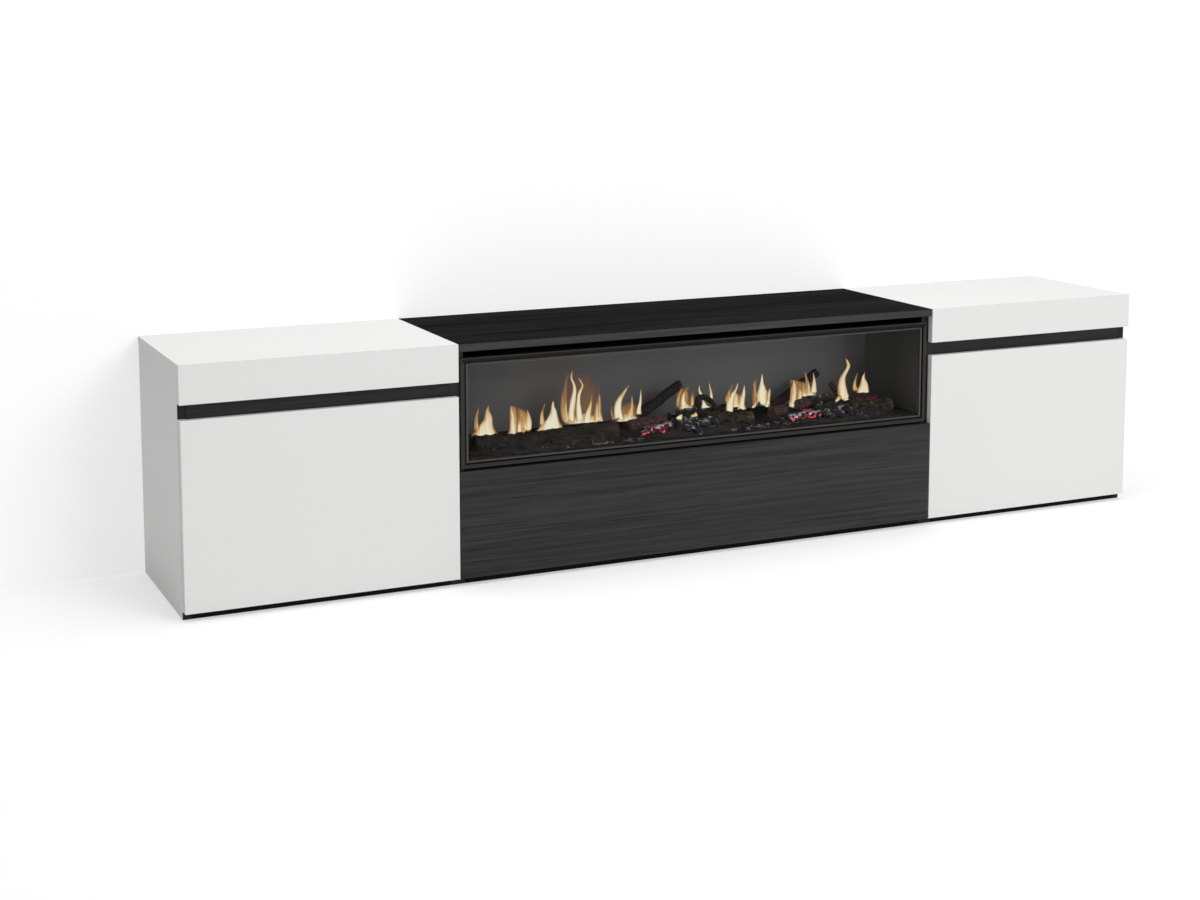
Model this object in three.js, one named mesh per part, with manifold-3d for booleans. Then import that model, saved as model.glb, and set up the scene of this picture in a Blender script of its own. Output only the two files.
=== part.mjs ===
// A wall-length media cabinet. Two white lacquered cabinets with drop-down flaps stand either side
// of a black wood-grain cabinet, which holds an electric fireplace above a long drop-down flap.
// Millimetres, +Z up. The origin is on the floor under the middle, and the fronts face -Y.

import * as THREE from 'three';
import { ConvexGeometry } from 'three/addons/geometries/ConvexGeometry.js';
import { mergeVertices } from 'three/addons/utils/BufferGeometryUtils.js';
import Module from 'manifold-3d';

const wasm = await Module();
wasm.setup();

// The whole cabinet
const WIDTH = 2600;
const HEIGHT = 573;
const DEPTH = 432;
const SIDE_CABINET_WIDTH = 646;
const CABINET_SEAM = 2;

// Boards
const BOARD = 18;
const FRONT_BOARD = 18;
const BACK_BOARD = 6;
const EDGE_BAND = 1.5;
const EDGE_EASE = 0.6;
const MITRE_SETBACK = 0.22;
const BUMPER_GAP = 2.5;
const REAR_OVERHANG = 4.5;
const CUT_GAP = 0.3;
const OVERRUN = 1;

// Fronts
const FASCIA_HEIGHT = 88.5;
const FINGER_GAP = 34.5;
const FLAP_FLOOR_GAP = 17;
const FLAP_REVEAL = 1;
const RAIL_LAP = 10;
const CENTRE_FLAP_HEIGHT = 254.5;
const CENTRE_FINGER_GAP = 4.5;
const SHELF_LAP = 5.5;
const FINGER_BEVEL_DEPTH = 8;
const FINGER_BEVEL_HEIGHT = 12;

// Openings in the backs
const CABLE_HOLE_RADIUS = 30;
const CABLE_HOLE_RISE = 110;
const VENT_SLOT_HEIGHT = 14;
const VENT_SLOTS = 5;
const VENT_SLOT_SPACES = 7;
const VENT_SLOT_LENGTH_SHARE = 0.86;
const VENT_SLOT_DROP = 70;

// Flap hinges: a cup let into the cabinet's bottom board and a cup let into the flap
const PIVOT_FORWARD = 6;
const PIVOT_RISE = 1.5;
const HINGE_CUP_RADIUS = 17.5;
const HINGE_CUP_DEPTH = 11;
const HINGE_CUP_SETBACK = 28;
const HINGE_LEAF_RISE = 27;
const HINGE_PLATE = 2;
const HINGE_TONGUE_WIDTH = 16;
const HINGE_FORK_WIDTH = 34;
const HINGE_FORK_GAP = 0.4;
const HINGE_FORK_LENGTH = 12;
const KNUCKLE_RADIUS = 2.5;
const HINGE_PIN_RADIUS = 1.2;
const HINGE_PIN_CLEARANCE = 0.2;
const HINGE_NOTCH_RISE = 3.4;
const HINGE_NOTCH_DEPTH = 3.2;
const HINGE_INSET = 110;

// Flap stays: an arm on the flap whose pin runs in a curved track on the cabinet's side
const TRACK_STAND_OFF = 5;
const TRACK_PLATE = 2;
const TRACK_HALF_WIDTH = 8.5;
const TRACK_END = 15;
const TRACK_FOOT_RADIUS = 6;
const STAY_ARM = 2.5;
const STAY_ARM_RADIUS = 8;
const STAY_SIDE_GAP = 0.6;
const STAY_PIN_RADIUS = 3;
const STAY_PIN_CLEARANCE = 0.35;
const STAY_HEAD_RADIUS = 5;
const STAY_HEAD = 1.4;
const STAY_BRACKET_PLATE = 2;
const STAY_BRACKET_REACH = 12;
const STAY_BRACKET_WIDTH = 22;
const STAY_BRACKET_HEIGHT = 34;
const TRACK_STEPS = 13;
const TRACK_OVERTRAVEL_SHARE = 0.015;

// The two sizes of stay. The arm turns by its turn share of what the flap turns.
const SIDE_STAY = { pivotRise: 120, arm: 257, restTurns: 0.0503, turnShare: 0.309 };
const CENTRE_STAY = { pivotRise: 70, arm: 153, restTurns: 0.0531, turnShare: 0.267 };
const FLAP_TURNS = 0.25;

// The fireplace insert
const TRIM_END_GAP = 9;
const TRIM_TOP_GAP = 18;
const TRIM_PROUD = 8;
const TRIM_BORDER = 16;
const TRIM_SIDE_BORDER = 18;
const TRIM_FLANGE = 10;
const TRIM_GROOVE_DEPTH = 4;
const TRIM_BEAD = 3;
const TRIM_BEAD_DROP = 1.5;
const GLASS = 4;
const GLASS_LAP = 4;
const INSERT_TOP_DROP = 11.2;
const INSERT_SIDE_GAP = 2;
const INSERT_DEPTH = 270;
const INSERT_WALL = 2;
const SCREEN = 4;
const SCREEN_REAR_GAP = 9.5;
const SCREEN_SIDE_GAP = 2;
const TRAY_HEIGHT = 4;
const TRAY_FRONT_GAP = 6;
const TRAY_RIM = 6;
const TRAY_RIM_WIDTH = 5;
const LOUVRE_LENGTH = 34;
const LOUVRE_WIDTH = 6;
const LOUVRES = 14;
const LOUVRE_SPACES = 16;
const LOUVRE_SETBACK = 40;

// The insert's power inlet
const INLET_WIDTH = 30;
const INLET_HEIGHT = 24;
const INLET_DEPTH = 9;
const INLET_WALL = 2.5;
const INLET_FLOOR = 2;
const INLET_BLADE = 1.5;
const INLET_BLADE_LENGTH = 5;
const INLET_BLADE_PITCH = 7;
const INLET_END_GAP = 60;
const INLET_RISE = 30;

// Facets
const CUP_SEGMENTS = 20;
const KNUCKLE_SEGMENTS = 12;
const ROUND_SEGMENTS = 8;
const HOLE_SEGMENTS = 24;
const LOG_SEGMENTS = 8;
const LOG_STEPS = 6;

// The logs, as shares of the fire space: along its width from the middle, back from the glass and up
// from the tray. The girth shares are of its height.
const LOG_SHARES = {
  left: [
    { path: [[-0.46, 0.3, 0.07], [-0.334, 0.27, 0.06], [-0.199, 0.3, 0.08]], girth: [0.095, 0.08] },
    { path: [[-0.32, 0.142, 0.05], [-0.261, 0.166, 0.047], [-0.206, 0.134, 0.069]], girth: [0.06, 0.055] },
  ],
  centre: [
    { path: [[-0.118, 0.58, 0.06], [-0.04, 0.66, 0.25], [0.023, 0.721, 0.43]], girth: [0.065, 0.05] },
    { path: [[-0.127, 0.381, 0.09], [-0.09, 0.355, 0.13], [-0.052, 0.373, 0.165]], girth: [0.07, 0.06] },
    { path: [[-0.045, 0.2, 0.1], [-0.014, 0.31, 0.16], [0.016, 0.421, 0.215]], girth: [0.058, 0.05] },
    { path: [[0.02, 0.52, 0.28], [0.043, 0.461, 0.33], [0.071, 0.381, 0.12]], girth: [0.03, 0.036] },
    { path: [[0.05, 0.5, 0.1], [0.09, 0.541, 0.148], [0.128, 0.561, 0.185]], girth: [0.045, 0.04] },
    { path: [[0.061, 0.281, 0.08], [0.102, 0.261, 0.109], [0.14, 0.246, 0.106]], girth: [0.05, 0.048] },
  ],
  right: [
    { path: [[0.207, 0.341, 0.065], [0.24, 0.381, 0.154], [0.268, 0.421, 0.235]], girth: [0.06, 0.048] },
    { path: [[0.254, 0.381, 0.17], [0.297, 0.321, 0.219], [0.35, 0.381, 0.229]], girth: [0.04, 0.036] },
    { path: [[0.222, 0.232, 0.04], [0.255, 0.21, 0.07], [0.288, 0.192, 0.08]], girth: [0.05, 0.04] },
    { path: [[0.215, 0.62, 0.07], [0.284, 0.681, 0.25], [0.349, 0.741, 0.424]], girth: [0.06, 0.045] },
    { path: [[0.364, 0.661, 0.306], [0.378, 0.6, 0.24], [0.394, 0.52, 0.12]], girth: [0.045, 0.05] },
    { path: [[0.345, 0.301, 0.054], [0.405, 0.269, 0.067], [0.474, 0.301, 0.05]], girth: [0.065, 0.058] },
    { path: [[0.302, 0.142, 0.051], [0.333, 0.155, 0.066], [0.363, 0.166, 0.064]], girth: [0.045, 0.04] },
  ],
};
// The beds of embers under the logs, in the same shares: middle, half-sizes across and back, and rise
const BED_SHARES = {
  left: { middleShares: [-0.315, 0.32], halfShares: [0.17, 0.27], riseShare: 0.085 },
  centre: { middleShares: [0.005, 0.42], halfShares: [0.155, 0.36], riseShare: 0.13 },
  right: { middleShares: [0.335, 0.42], halfShares: [0.155, 0.36], riseShare: 0.11 },
};
const LOG_FLUTE_SHARE = 0.07;
const LOG_FLUTE_COUNT = 4;
const LOG_TWIST_TURNS = 0.3;
const BED_LUMP_SHARE = 0.14;
const BED_LUMP_COUNT = 7;
const BED_RING_COUNT = 4;
const BED_SEGMENTS = 20;
const TRAY_CLEARANCE = 0.3;

// Levels and planes that several pieces share
const frontY = -DEPTH / 2;
const topRearY = DEPTH / 2;
const carcassFrontY = frontY + FRONT_BOARD + BUMPER_GAP;
const carcassRearY = topRearY - REAR_OVERHANG;
const backFrontY = carcassRearY - BACK_BOARD;
const topUnderZ = HEIGHT - BOARD;
const fasciaBottomZ = HEIGHT - FASCIA_HEIGHT;
const sideFlapTopZ = fasciaBottomZ - FINGER_GAP;
const railBottomZ = sideFlapTopZ - RAIL_LAP;
const centreFlapTopZ = FLAP_FLOOR_GAP + CENTRE_FLAP_HEIGHT;
const shelfUnderZ = centreFlapTopZ - SHELF_LAP;
const shelfTopZ = shelfUnderZ + BOARD;
const sideOuterX = WIDTH / 2;
const centreOuterX = sideOuterX - SIDE_CABINET_WIDTH;
const centreInnerX = centreOuterX - BOARD;
const pivotY = carcassFrontY - PIVOT_FORWARD;
const pivotZ = BOARD + PIVOT_RISE;
const flapInnerReach = frontY + FRONT_BOARD - pivotY;
const trimHalfWidth = centreOuterX - TRIM_END_GAP;
const trimBottomZ = centreFlapTopZ + CENTRE_FINGER_GAP;
const trimTopZ = topUnderZ - TRIM_TOP_GAP;
const insertBottomZ = shelfTopZ + CUT_GAP;
const insertTopZ = trimTopZ - INSERT_TOP_DROP;
const insertFrontY = carcassFrontY + CUT_GAP;
const insertHalfWidth = centreInnerX - INSERT_SIDE_GAP;
const insertRearY = insertFrontY + INSERT_DEPTH;
const inletX = insertHalfWidth - INLET_END_GAP;
const inletZ = insertBottomZ + INLET_RISE + INLET_HEIGHT / 2;
const glassHalfWidth = trimHalfWidth - TRIM_SIDE_BORDER + GLASS_LAP;
const screenFrontY = insertRearY - INSERT_WALL - SCREEN_REAR_GAP - SCREEN;
const trayBottomZ = insertBottomZ + INSERT_WALL + CUT_GAP;
const fireFloorZ = trayBottomZ + TRAY_HEIGHT + TRAY_CLEARANCE;
const fireFrontY = insertFrontY + INSERT_WALL;
const fireWidth = (trimHalfWidth - TRIM_SIDE_BORDER) * 2;
const fireDepth = screenFrontY - fireFrontY;
const fireHeight = trimTopZ - TRIM_BORDER - fireFloorZ;

const materials = {
  white: new THREE.MeshStandardMaterial({ color: 0xe6e6e4, roughness: 0.28, metalness: 0 }),
  black: new THREE.MeshStandardMaterial({ color: 0x2b2b2c, roughness: 0.62, metalness: 0 }),
  edging: new THREE.MeshStandardMaterial({ color: 0x323233, roughness: 0.5, metalness: 0 }),
  steel: new THREE.MeshStandardMaterial({ color: 0xa8abad, roughness: 0.35, metalness: 1 }),
  stay: new THREE.MeshStandardMaterial({ color: 0x7d8083, roughness: 0.42, metalness: 0.9 }),
  trim: new THREE.MeshStandardMaterial({ color: 0x2f3031, roughness: 0.4, metalness: 0.6 }),
  glass: new THREE.MeshStandardMaterial({
    color: 0xbfc6c8, roughness: 0.05, metalness: 0, transparent: true, opacity: 0.2,
  }),
  housing: new THREE.MeshStandardMaterial({ color: 0x3a3a3b, roughness: 0.7, metalness: 0.4 }),
  screen: new THREE.MeshStandardMaterial({ color: 0x565656, roughness: 0.6, metalness: 0 }),
  embers: new THREE.MeshStandardMaterial({ color: 0x3b2d24, roughness: 0.95, metalness: 0 }),
  socket: new THREE.MeshStandardMaterial({ color: 0x151515, roughness: 0.5, metalness: 0 }),
};

// Turns a drawing in depth and height into one that is extruded along X
const alongX = new THREE.Matrix4().makeBasis(
  new THREE.Vector3(0, 1, 0),
  new THREE.Vector3(0, 0, 1),
  new THREE.Vector3(1, 0, 0),
);

function solid(geometry) {
  const bare = geometry.clone();
  bare.deleteAttribute('normal');
  bare.deleteAttribute('uv');
  const merged = mergeVertices(bare);
  const mesh = new wasm.Mesh({
    numProp: 3,
    vertProperties: new Float32Array(merged.attributes.position.array),
    triVerts: new Uint32Array(merged.index.array),
  });
  return new wasm.Manifold(mesh);
}

function geometryOf(manifold) {
  const mesh = manifold.getMesh();
  const geometry = new THREE.BufferGeometry();
  geometry.setAttribute('position', new THREE.BufferAttribute(new Float32Array(mesh.vertProperties), 3));
  geometry.setIndex(new THREE.BufferAttribute(new Uint32Array(mesh.triVerts), 1));
  geometry.computeVertexNormals();
  return geometry;
}

function join(...geometries) {
  return geometryOf(geometries.map(solid).reduce((whole, next) => whole.add(next)));
}

function cut(geometry, ...tools) {
  return geometryOf(tools.map(solid).reduce((whole, next) => whole.subtract(next), solid(geometry)));
}

// Ranges are [low, high]
function block(x, y, z) {
  const geometry = new THREE.BoxGeometry(x[1] - x[0], y[1] - y[0], z[1] - z[0]);
  return geometry.translate((x[0] + x[1]) / 2, (y[0] + y[1]) / 2, (z[0] + z[1]) / 2);
}

// A board with all its edges eased. Boards that meet take the same coordinates, so their faces touch.
function board(x, y, z, ease = EDGE_EASE) {
  const inside = (range, end) => range[end] + (end ? -ease : ease);
  const points = [];
  for (const i of [0, 1]) {
    for (const j of [0, 1]) {
      for (const k of [0, 1]) {
        points.push(new THREE.Vector3(x[i], inside(y, j), inside(z, k)));
        points.push(new THREE.Vector3(inside(x, i), y[j], inside(z, k)));
        points.push(new THREE.Vector3(inside(x, i), inside(y, j), z[k]));
      }
    }
  }
  return new ConvexGeometry(points);
}

// A drawing of [depth, height] points extruded along X
function prism(points, x) {
  const shape = new THREE.Shape(points.map(([y, z]) => new THREE.Vector2(y, z)));
  return slab(shape, x);
}

function slab(shape, x) {
  const geometry = new THREE.ExtrudeGeometry(shape, {
    depth: x[1] - x[0],
    bevelEnabled: false,
    curveSegments: ROUND_SEGMENTS,
  });
  return geometry.applyMatrix4(alongX).translate(x[0], 0, 0);
}

// A round bar from one X to the other, at a depth and height
function pin(radius, x, y, z, segments) {
  const geometry = new THREE.CylinderGeometry(radius, radius, x[1] - x[0], segments);
  return geometry.rotateZ(Math.PI / 2).translate((x[0] + x[1]) / 2, y, z);
}

function addPiece(group, name, geometry, material) {
  const mesh = new THREE.Mesh(geometry, material);
  mesh.name = name;
  group.add(mesh);
  return mesh;
}

// Spans a range on the left (-1) or the right (+1) of the middle, given from the middle outwards
function onSide(side, near, far) {
  return side < 0 ? [-far, -near] : [near, far];
}

// Flap hinges. Places here are measured from the pivot: back into the cabinet, and up.
const tongueUnder = CUT_GAP - PIVOT_RISE;
const tongueTop = tongueUnder + HINGE_PLATE;
const leafCupFace = flapInnerReach - CUT_GAP;
const forkInner = HINGE_TONGUE_WIDTH / 2 + HINGE_FORK_GAP;
const forkOuter = HINGE_FORK_WIDTH / 2;

function hingeBase() {
  const cup = new THREE.CylinderGeometry(HINGE_CUP_RADIUS, HINGE_CUP_RADIUS, HINGE_CUP_DEPTH, CUP_SEGMENTS);
  cup.rotateX(Math.PI / 2).translate(0, HINGE_CUP_SETBACK, tongueTop - HINGE_CUP_DEPTH / 2);
  const half = HINGE_TONGUE_WIDTH / 2;
  const tongue = block([-half, half], [0, HINGE_CUP_SETBACK], [tongueUnder, tongueTop]);
  const knuckle = pin(KNUCKLE_RADIUS, [-half, half], 0, 0, KNUCKLE_SEGMENTS);
  const through = pin(HINGE_PIN_RADIUS, [-forkOuter, forkOuter], 0, 0, KNUCKLE_SEGMENTS);
  return join(tongue, cup, knuckle, through);
}

function hingeLeaf() {
  const plateFront = leafCupFace - HINGE_PLATE;
  const cup = new THREE.CylinderGeometry(HINGE_CUP_RADIUS, HINGE_CUP_RADIUS, HINGE_CUP_DEPTH, CUP_SEGMENTS);
  cup.translate(0, leafCupFace - HINGE_CUP_DEPTH / 2, HINGE_LEAF_RISE);
  const plate = block([-forkOuter, forkOuter], [plateFront, leafCupFace], [0, HINGE_LEAF_RISE]);
  const slot = block(
    [-forkInner, forkInner],
    [plateFront - OVERRUN, leafCupFace + OVERRUN],
    [-OVERRUN, HINGE_FORK_LENGTH],
  );
  const bore = HINGE_PIN_RADIUS + HINGE_PIN_CLEARANCE;
  const pieces = [cut(plate, slot), cup];
  for (const side of [-1, 1]) {
    pieces.push(pin(KNUCKLE_RADIUS, onSide(side, forkInner, forkOuter), 0, 0, KNUCKLE_SEGMENTS));
  }
  const run = [-forkOuter - OVERRUN, forkOuter + OVERRUN];
  return cut(join(...pieces), pin(bore, run, 0, 0, KNUCKLE_SEGMENTS));
}

// What the hinge takes out of the cabinet's bottom board
function basePocket(x) {
  const radius = HINGE_CUP_RADIUS + CUT_GAP;
  const depth = HINGE_CUP_DEPTH + CUT_GAP + OVERRUN;
  const pocket = new THREE.CylinderGeometry(radius, radius, depth, CUP_SEGMENTS);
  const floor = pivotZ + tongueTop - HINGE_CUP_DEPTH - CUT_GAP;
  return pocket.rotateX(Math.PI / 2).translate(x, pivotY + HINGE_CUP_SETBACK, floor + depth / 2);
}

// What the hinge takes out of the flap: the cup's pocket, the leaf's recess and the pivot's notch
function flapPockets(x) {
  const face = pivotY + flapInnerReach + OVERRUN;
  const radius = HINGE_CUP_RADIUS + CUT_GAP;
  const cupFront = pivotY + leafCupFace - HINGE_CUP_DEPTH - CUT_GAP;
  const pocket = new THREE.CylinderGeometry(radius, radius, face - cupFront, CUP_SEGMENTS);
  pocket.translate(x, (face + cupFront) / 2, pivotZ + HINGE_LEAF_RISE);
  const half = forkOuter + CUT_GAP * 2;
  const recess = block(
    [x - half, x + half],
    [pivotY + leafCupFace - HINGE_PLATE - CUT_GAP, face],
    [FLAP_FLOOR_GAP - OVERRUN, pivotZ + HINGE_LEAF_RISE + CUT_GAP],
  );
  const notch = block(
    [x - half, x + half],
    [pivotY - HINGE_NOTCH_DEPTH, face],
    [FLAP_FLOOR_GAP - OVERRUN, pivotZ + HINGE_NOTCH_RISE],
  );
  return [pocket, recess, notch];
}

function addHinges(group, cabinet, places) {
  places.forEach((x, index) => {
    const pair = new THREE.Group();
    pair.position.set(x, pivotY, pivotZ);
    addPiece(pair, `${cabinet}_hinge_${index + 1}_base`, hingeBase(), materials.steel);
    addPiece(pair, `${cabinet}_hinge_${index + 1}_leaf`, hingeLeaf(), materials.steel);
    group.add(pair);
  });
}

// Flap stays. Places are from the flap's pivot again, and from the cabinet side's inner face inwards.
const armNear = TRACK_STAND_OFF + TRACK_PLATE + STAY_SIDE_GAP;
const armFar = armNear + STAY_ARM;
const earNear = armFar + STAY_SIDE_GAP;
const bracketReach = flapInnerReach + STAY_BRACKET_REACH;

function turned(y, z, turns) {
  const angle = turns * Math.PI * 2;
  return [y * Math.cos(angle) - z * Math.sin(angle), y * Math.sin(angle) + z * Math.cos(angle)];
}

// Where the arm's track pin is when the flap is open by a share of its travel
function trackPoint(stay, openShare) {
  const [y, z] = turned(bracketReach, stay.pivotRise, FLAP_TURNS * openShare);
  const armTurns = stay.restTurns + stay.turnShare * FLAP_TURNS * openShare;
  const [dy, dz] = turned(stay.arm, 0, armTurns);
  return new THREE.Vector2(y + dy, z + dz);
}

function trackPath(stay) {
  const points = [];
  for (let step = 0; step <= TRACK_STEPS; step += 1) {
    const low = -TRACK_OVERTRAVEL_SHARE;
    const span = 1 + TRACK_OVERTRAVEL_SHARE * 2;
    points.push(trackPoint(stay, low + (span * step) / TRACK_STEPS));
  }
  return points;
}

// The outline that lies a half-width off both sides of a path, with round ends
function outlineAround(path, halfWidth) {
  const last = path.length - 1;
  const heading = (i) => {
    const ahead = path[Math.min(i + 1, last)];
    const behind = path[Math.max(i - 1, 0)];
    return Math.atan2(ahead.y - behind.y, ahead.x - behind.x);
  };
  const around = (i, angle) => new THREE.Vector2(
    path[i].x + halfWidth * Math.cos(angle),
    path[i].y + halfWidth * Math.sin(angle),
  );
  const right = path.map((_, i) => around(i, heading(i) - Math.PI / 2));
  const left = path.map((_, i) => around(i, heading(i) + Math.PI / 2)).reverse();
  const endCap = [];
  const startCap = [];
  for (let step = 1; step < ROUND_SEGMENTS; step += 1) {
    const sweep = (Math.PI * step) / ROUND_SEGMENTS;
    endCap.push(around(last, heading(last) - Math.PI / 2 + sweep));
    startCap.push(around(0, heading(0) + Math.PI / 2 + sweep));
  }
  return [...right, ...endCap, ...left, ...startCap];
}

// Lengthens a path at both ends along its own direction
function lengthened(path, by) {
  const beyond = (end, before) => {
    const direction = end.clone().sub(before).normalize();
    return end.clone().addScaledVector(direction, by);
  };
  const last = path.length - 1;
  return [beyond(path[0], path[1]), ...path, beyond(path[last], path[last - 1])];
}

function stayTrack(stay, across) {
  const path = trackPath(stay);
  const shape = new THREE.Shape(outlineAround(lengthened(path, TRACK_END), TRACK_HALF_WIDTH));
  shape.holes.push(new THREE.Path(outlineAround(path, STAY_PIN_RADIUS + STAY_PIN_CLEARANCE)));
  const plate = slab(shape, across(TRACK_STAND_OFF, TRACK_STAND_OFF + TRACK_PLATE));
  const whole = lengthened(path, TRACK_END);
  const footRun = across(CUT_GAP, TRACK_STAND_OFF + TRACK_PLATE / 2);
  const feet = [whole[0], whole[whole.length - 1]].map((end) => (
    pin(TRACK_FOOT_RADIUS, footRun, end.x, end.y, ROUND_SEGMENTS * 2)
  ));
  return join(plate, ...feet);
}

function stayArm(stay, across) {
  const flapEnd = new THREE.Vector2(bracketReach, stay.pivotRise);
  const trackEnd = trackPoint(stay, 0);
  const shape = new THREE.Shape(outlineAround([flapEnd, trackEnd], STAY_ARM_RADIUS));
  const bar = slab(shape, across(armNear, armFar));
  const bore = pin(
    STAY_PIN_RADIUS + STAY_PIN_CLEARANCE,
    across(armNear - OVERRUN, armFar + OVERRUN),
    flapEnd.x, flapEnd.y, ROUND_SEGMENTS * 2,
  );
  const runner = pin(
    STAY_PIN_RADIUS,
    across(TRACK_STAND_OFF - STAY_SIDE_GAP - STAY_HEAD, armFar - STAY_ARM / 2),
    trackEnd.x, trackEnd.y, ROUND_SEGMENTS * 2,
  );
  const head = pin(
    STAY_HEAD_RADIUS,
    across(TRACK_STAND_OFF - STAY_SIDE_GAP - STAY_HEAD, TRACK_STAND_OFF - STAY_SIDE_GAP),
    trackEnd.x, trackEnd.y, ROUND_SEGMENTS * 2,
  );
  return join(cut(bar, bore), runner, head);
}

function stayBracket(stay, across) {
  const foot = flapInnerReach + CUT_GAP;
  const low = stay.pivotRise - STAY_BRACKET_HEIGHT / 2;
  const high = stay.pivotRise + STAY_BRACKET_HEIGHT / 2;
  const base = board(
    across(earNear, earNear + STAY_BRACKET_WIDTH),
    [foot, foot + STAY_BRACKET_PLATE],
    [low, high],
    EDGE_EASE / 2,
  );
  const nose = new THREE.Vector2(bracketReach, stay.pivotRise);
  const outline = [new THREE.Vector2(foot, high), new THREE.Vector2(foot, low)];
  for (let step = 0; step <= ROUND_SEGMENTS; step += 1) {
    const angle = -Math.PI / 2 + (Math.PI * step) / ROUND_SEGMENTS;
    outline.push(new THREE.Vector2(
      nose.x + STAY_ARM_RADIUS * Math.cos(angle),
      nose.y + STAY_ARM_RADIUS * Math.sin(angle),
    ));
  }
  const ear = slab(new THREE.Shape(outline), across(earNear, earNear + STAY_BRACKET_PLATE));
  const rod = pin(
    STAY_PIN_RADIUS,
    across(armNear - STAY_SIDE_GAP - STAY_HEAD, earNear + STAY_BRACKET_PLATE / 2),
    nose.x, nose.y, ROUND_SEGMENTS * 2,
  );
  const head = pin(
    STAY_HEAD_RADIUS,
    across(armNear - STAY_SIDE_GAP - STAY_HEAD, armNear - STAY_SIDE_GAP),
    nose.x, nose.y, ROUND_SEGMENTS * 2,
  );
  return join(base, ear, rod, head);
}

// The wall is the X of the cabinet side's inner face, and inwards is +1 or -1
function addStay(group, name, stay, wall, inwards) {
  const across = (near, far) => (inwards > 0 ? [near, far] : [-far, -near]);
  const stand = new THREE.Group();
  stand.position.set(wall, pivotY, pivotZ);
  addPiece(stand, `${name}_track`, stayTrack(stay, across), materials.stay);
  addPiece(stand, `${name}_arm`, stayArm(stay, across), materials.stay);
  addPiece(stand, `${name}_bracket`, stayBracket(stay, across), materials.stay);
  group.add(stand);
}

// Boards that all three cabinets have
function bottomBoard(x, hinges) {
  return cut(board(x, [carcassFrontY, backFrontY], [0, BOARD]), ...hinges.map(basePocket));
}

function flapBoard(x, top, hinges) {
  const flap = board(x, [frontY, frontY + FRONT_BOARD], [FLAP_FLOOR_GAP, top]);
  return cut(flap, ...hinges.flatMap(flapPockets));
}

function cableHole(x, z) {
  const depth = BACK_BOARD + OVERRUN * 2;
  const hole = new THREE.CylinderGeometry(CABLE_HOLE_RADIUS, CABLE_HOLE_RADIUS, depth, HOLE_SEGMENTS);
  return hole.translate(x, (backFrontY + carcassRearY) / 2, z);
}

// The mitred top and fascia, whose faces run on into each other at the front edge
function mitredTop(x) {
  return prism([
    [frontY + MITRE_SETBACK, HEIGHT],
    [frontY + FRONT_BOARD + MITRE_SETBACK, topUnderZ],
    [topRearY - EDGE_EASE, topUnderZ],
    [topRearY, topUnderZ + EDGE_EASE],
    [topRearY, HEIGHT - EDGE_EASE],
    [topRearY - EDGE_EASE, HEIGHT],
  ], x);
}

function mitredFascia(x) {
  return prism([
    [frontY, HEIGHT - MITRE_SETBACK],
    [frontY, fasciaBottomZ + EDGE_EASE],
    [frontY + EDGE_EASE, fasciaBottomZ],
    [frontY + FRONT_BOARD - EDGE_EASE, fasciaBottomZ],
    [frontY + FRONT_BOARD, fasciaBottomZ + EDGE_EASE],
    [frontY + FRONT_BOARD, topUnderZ - MITRE_SETBACK],
  ], x);
}

function sideCabinet(cabinet, side) {
  const group = new THREE.Group();
  const outerPanel = onSide(side, sideOuterX - BOARD, sideOuterX);
  const innerPanel = onSide(side, centreOuterX, centreOuterX + BOARD);
  const between = onSide(side, centreOuterX + BOARD, sideOuterX - BOARD);
  const top = onSide(side, centreOuterX + CABINET_SEAM / 2, sideOuterX);
  const flap = onSide(side, centreOuterX + CABINET_SEAM / 2, sideOuterX - FLAP_REVEAL);
  const hinges = [flap[0] + HINGE_INSET, flap[1] - HINGE_INSET];
  const middle = (between[0] + between[1]) / 2;
  const panelFrontY = carcassFrontY + EDGE_BAND;

  const outer = board(outerPanel, [panelFrontY, carcassRearY], [0, topUnderZ]);
  const edging = board(outerPanel, [carcassFrontY, panelFrontY], [0, topUnderZ], EDGE_EASE / 2);
  const inner = board(innerPanel, [carcassFrontY, carcassRearY], [0, topUnderZ]);
  const rail = board(between, [carcassFrontY, carcassFrontY + BOARD], [railBottomZ, topUnderZ]);
  const back = cut(
    board(between, [backFrontY, carcassRearY], [0, topUnderZ]),
    cableHole(middle, BOARD + CABLE_HOLE_RISE),
  );
  addPiece(group, `${cabinet}_outer_side`, outer, materials.white);
  addPiece(group, `${cabinet}_side_edging`, edging, materials.edging);
  addPiece(group, `${cabinet}_inner_side`, inner, materials.black);
  addPiece(group, `${cabinet}_bottom`, bottomBoard(between, hinges), materials.black);
  addPiece(group, `${cabinet}_finger_rail`, rail, materials.black);
  addPiece(group, `${cabinet}_back`, back, materials.black);
  addPiece(group, `${cabinet}_top`, mitredTop(top), materials.white);
  addPiece(group, `${cabinet}_fascia`, mitredFascia(top), materials.white);
  addPiece(group, `${cabinet}_flap`, flapBoard(flap, sideFlapTopZ, hinges), materials.white);
  addHinges(group, cabinet, hinges);
  addStay(group, `${cabinet}_stay`, SIDE_STAY, side * (sideOuterX - BOARD), -side);
  return group;
}

// A bevel along the flap's inner top edge gives the fingers room behind it
function fingerBevel(x) {
  const rear = frontY + FRONT_BOARD + OVERRUN;
  const rise = OVERRUN * (FINGER_BEVEL_HEIGHT / FINGER_BEVEL_DEPTH);
  return prism([
    [rear - OVERRUN - FINGER_BEVEL_DEPTH - OVERRUN, centreFlapTopZ + rise],
    [rear, centreFlapTopZ - FINGER_BEVEL_HEIGHT - rise],
    [rear, centreFlapTopZ + rise],
  ], [x[0] - OVERRUN, x[1] + OVERRUN]);
}

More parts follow.
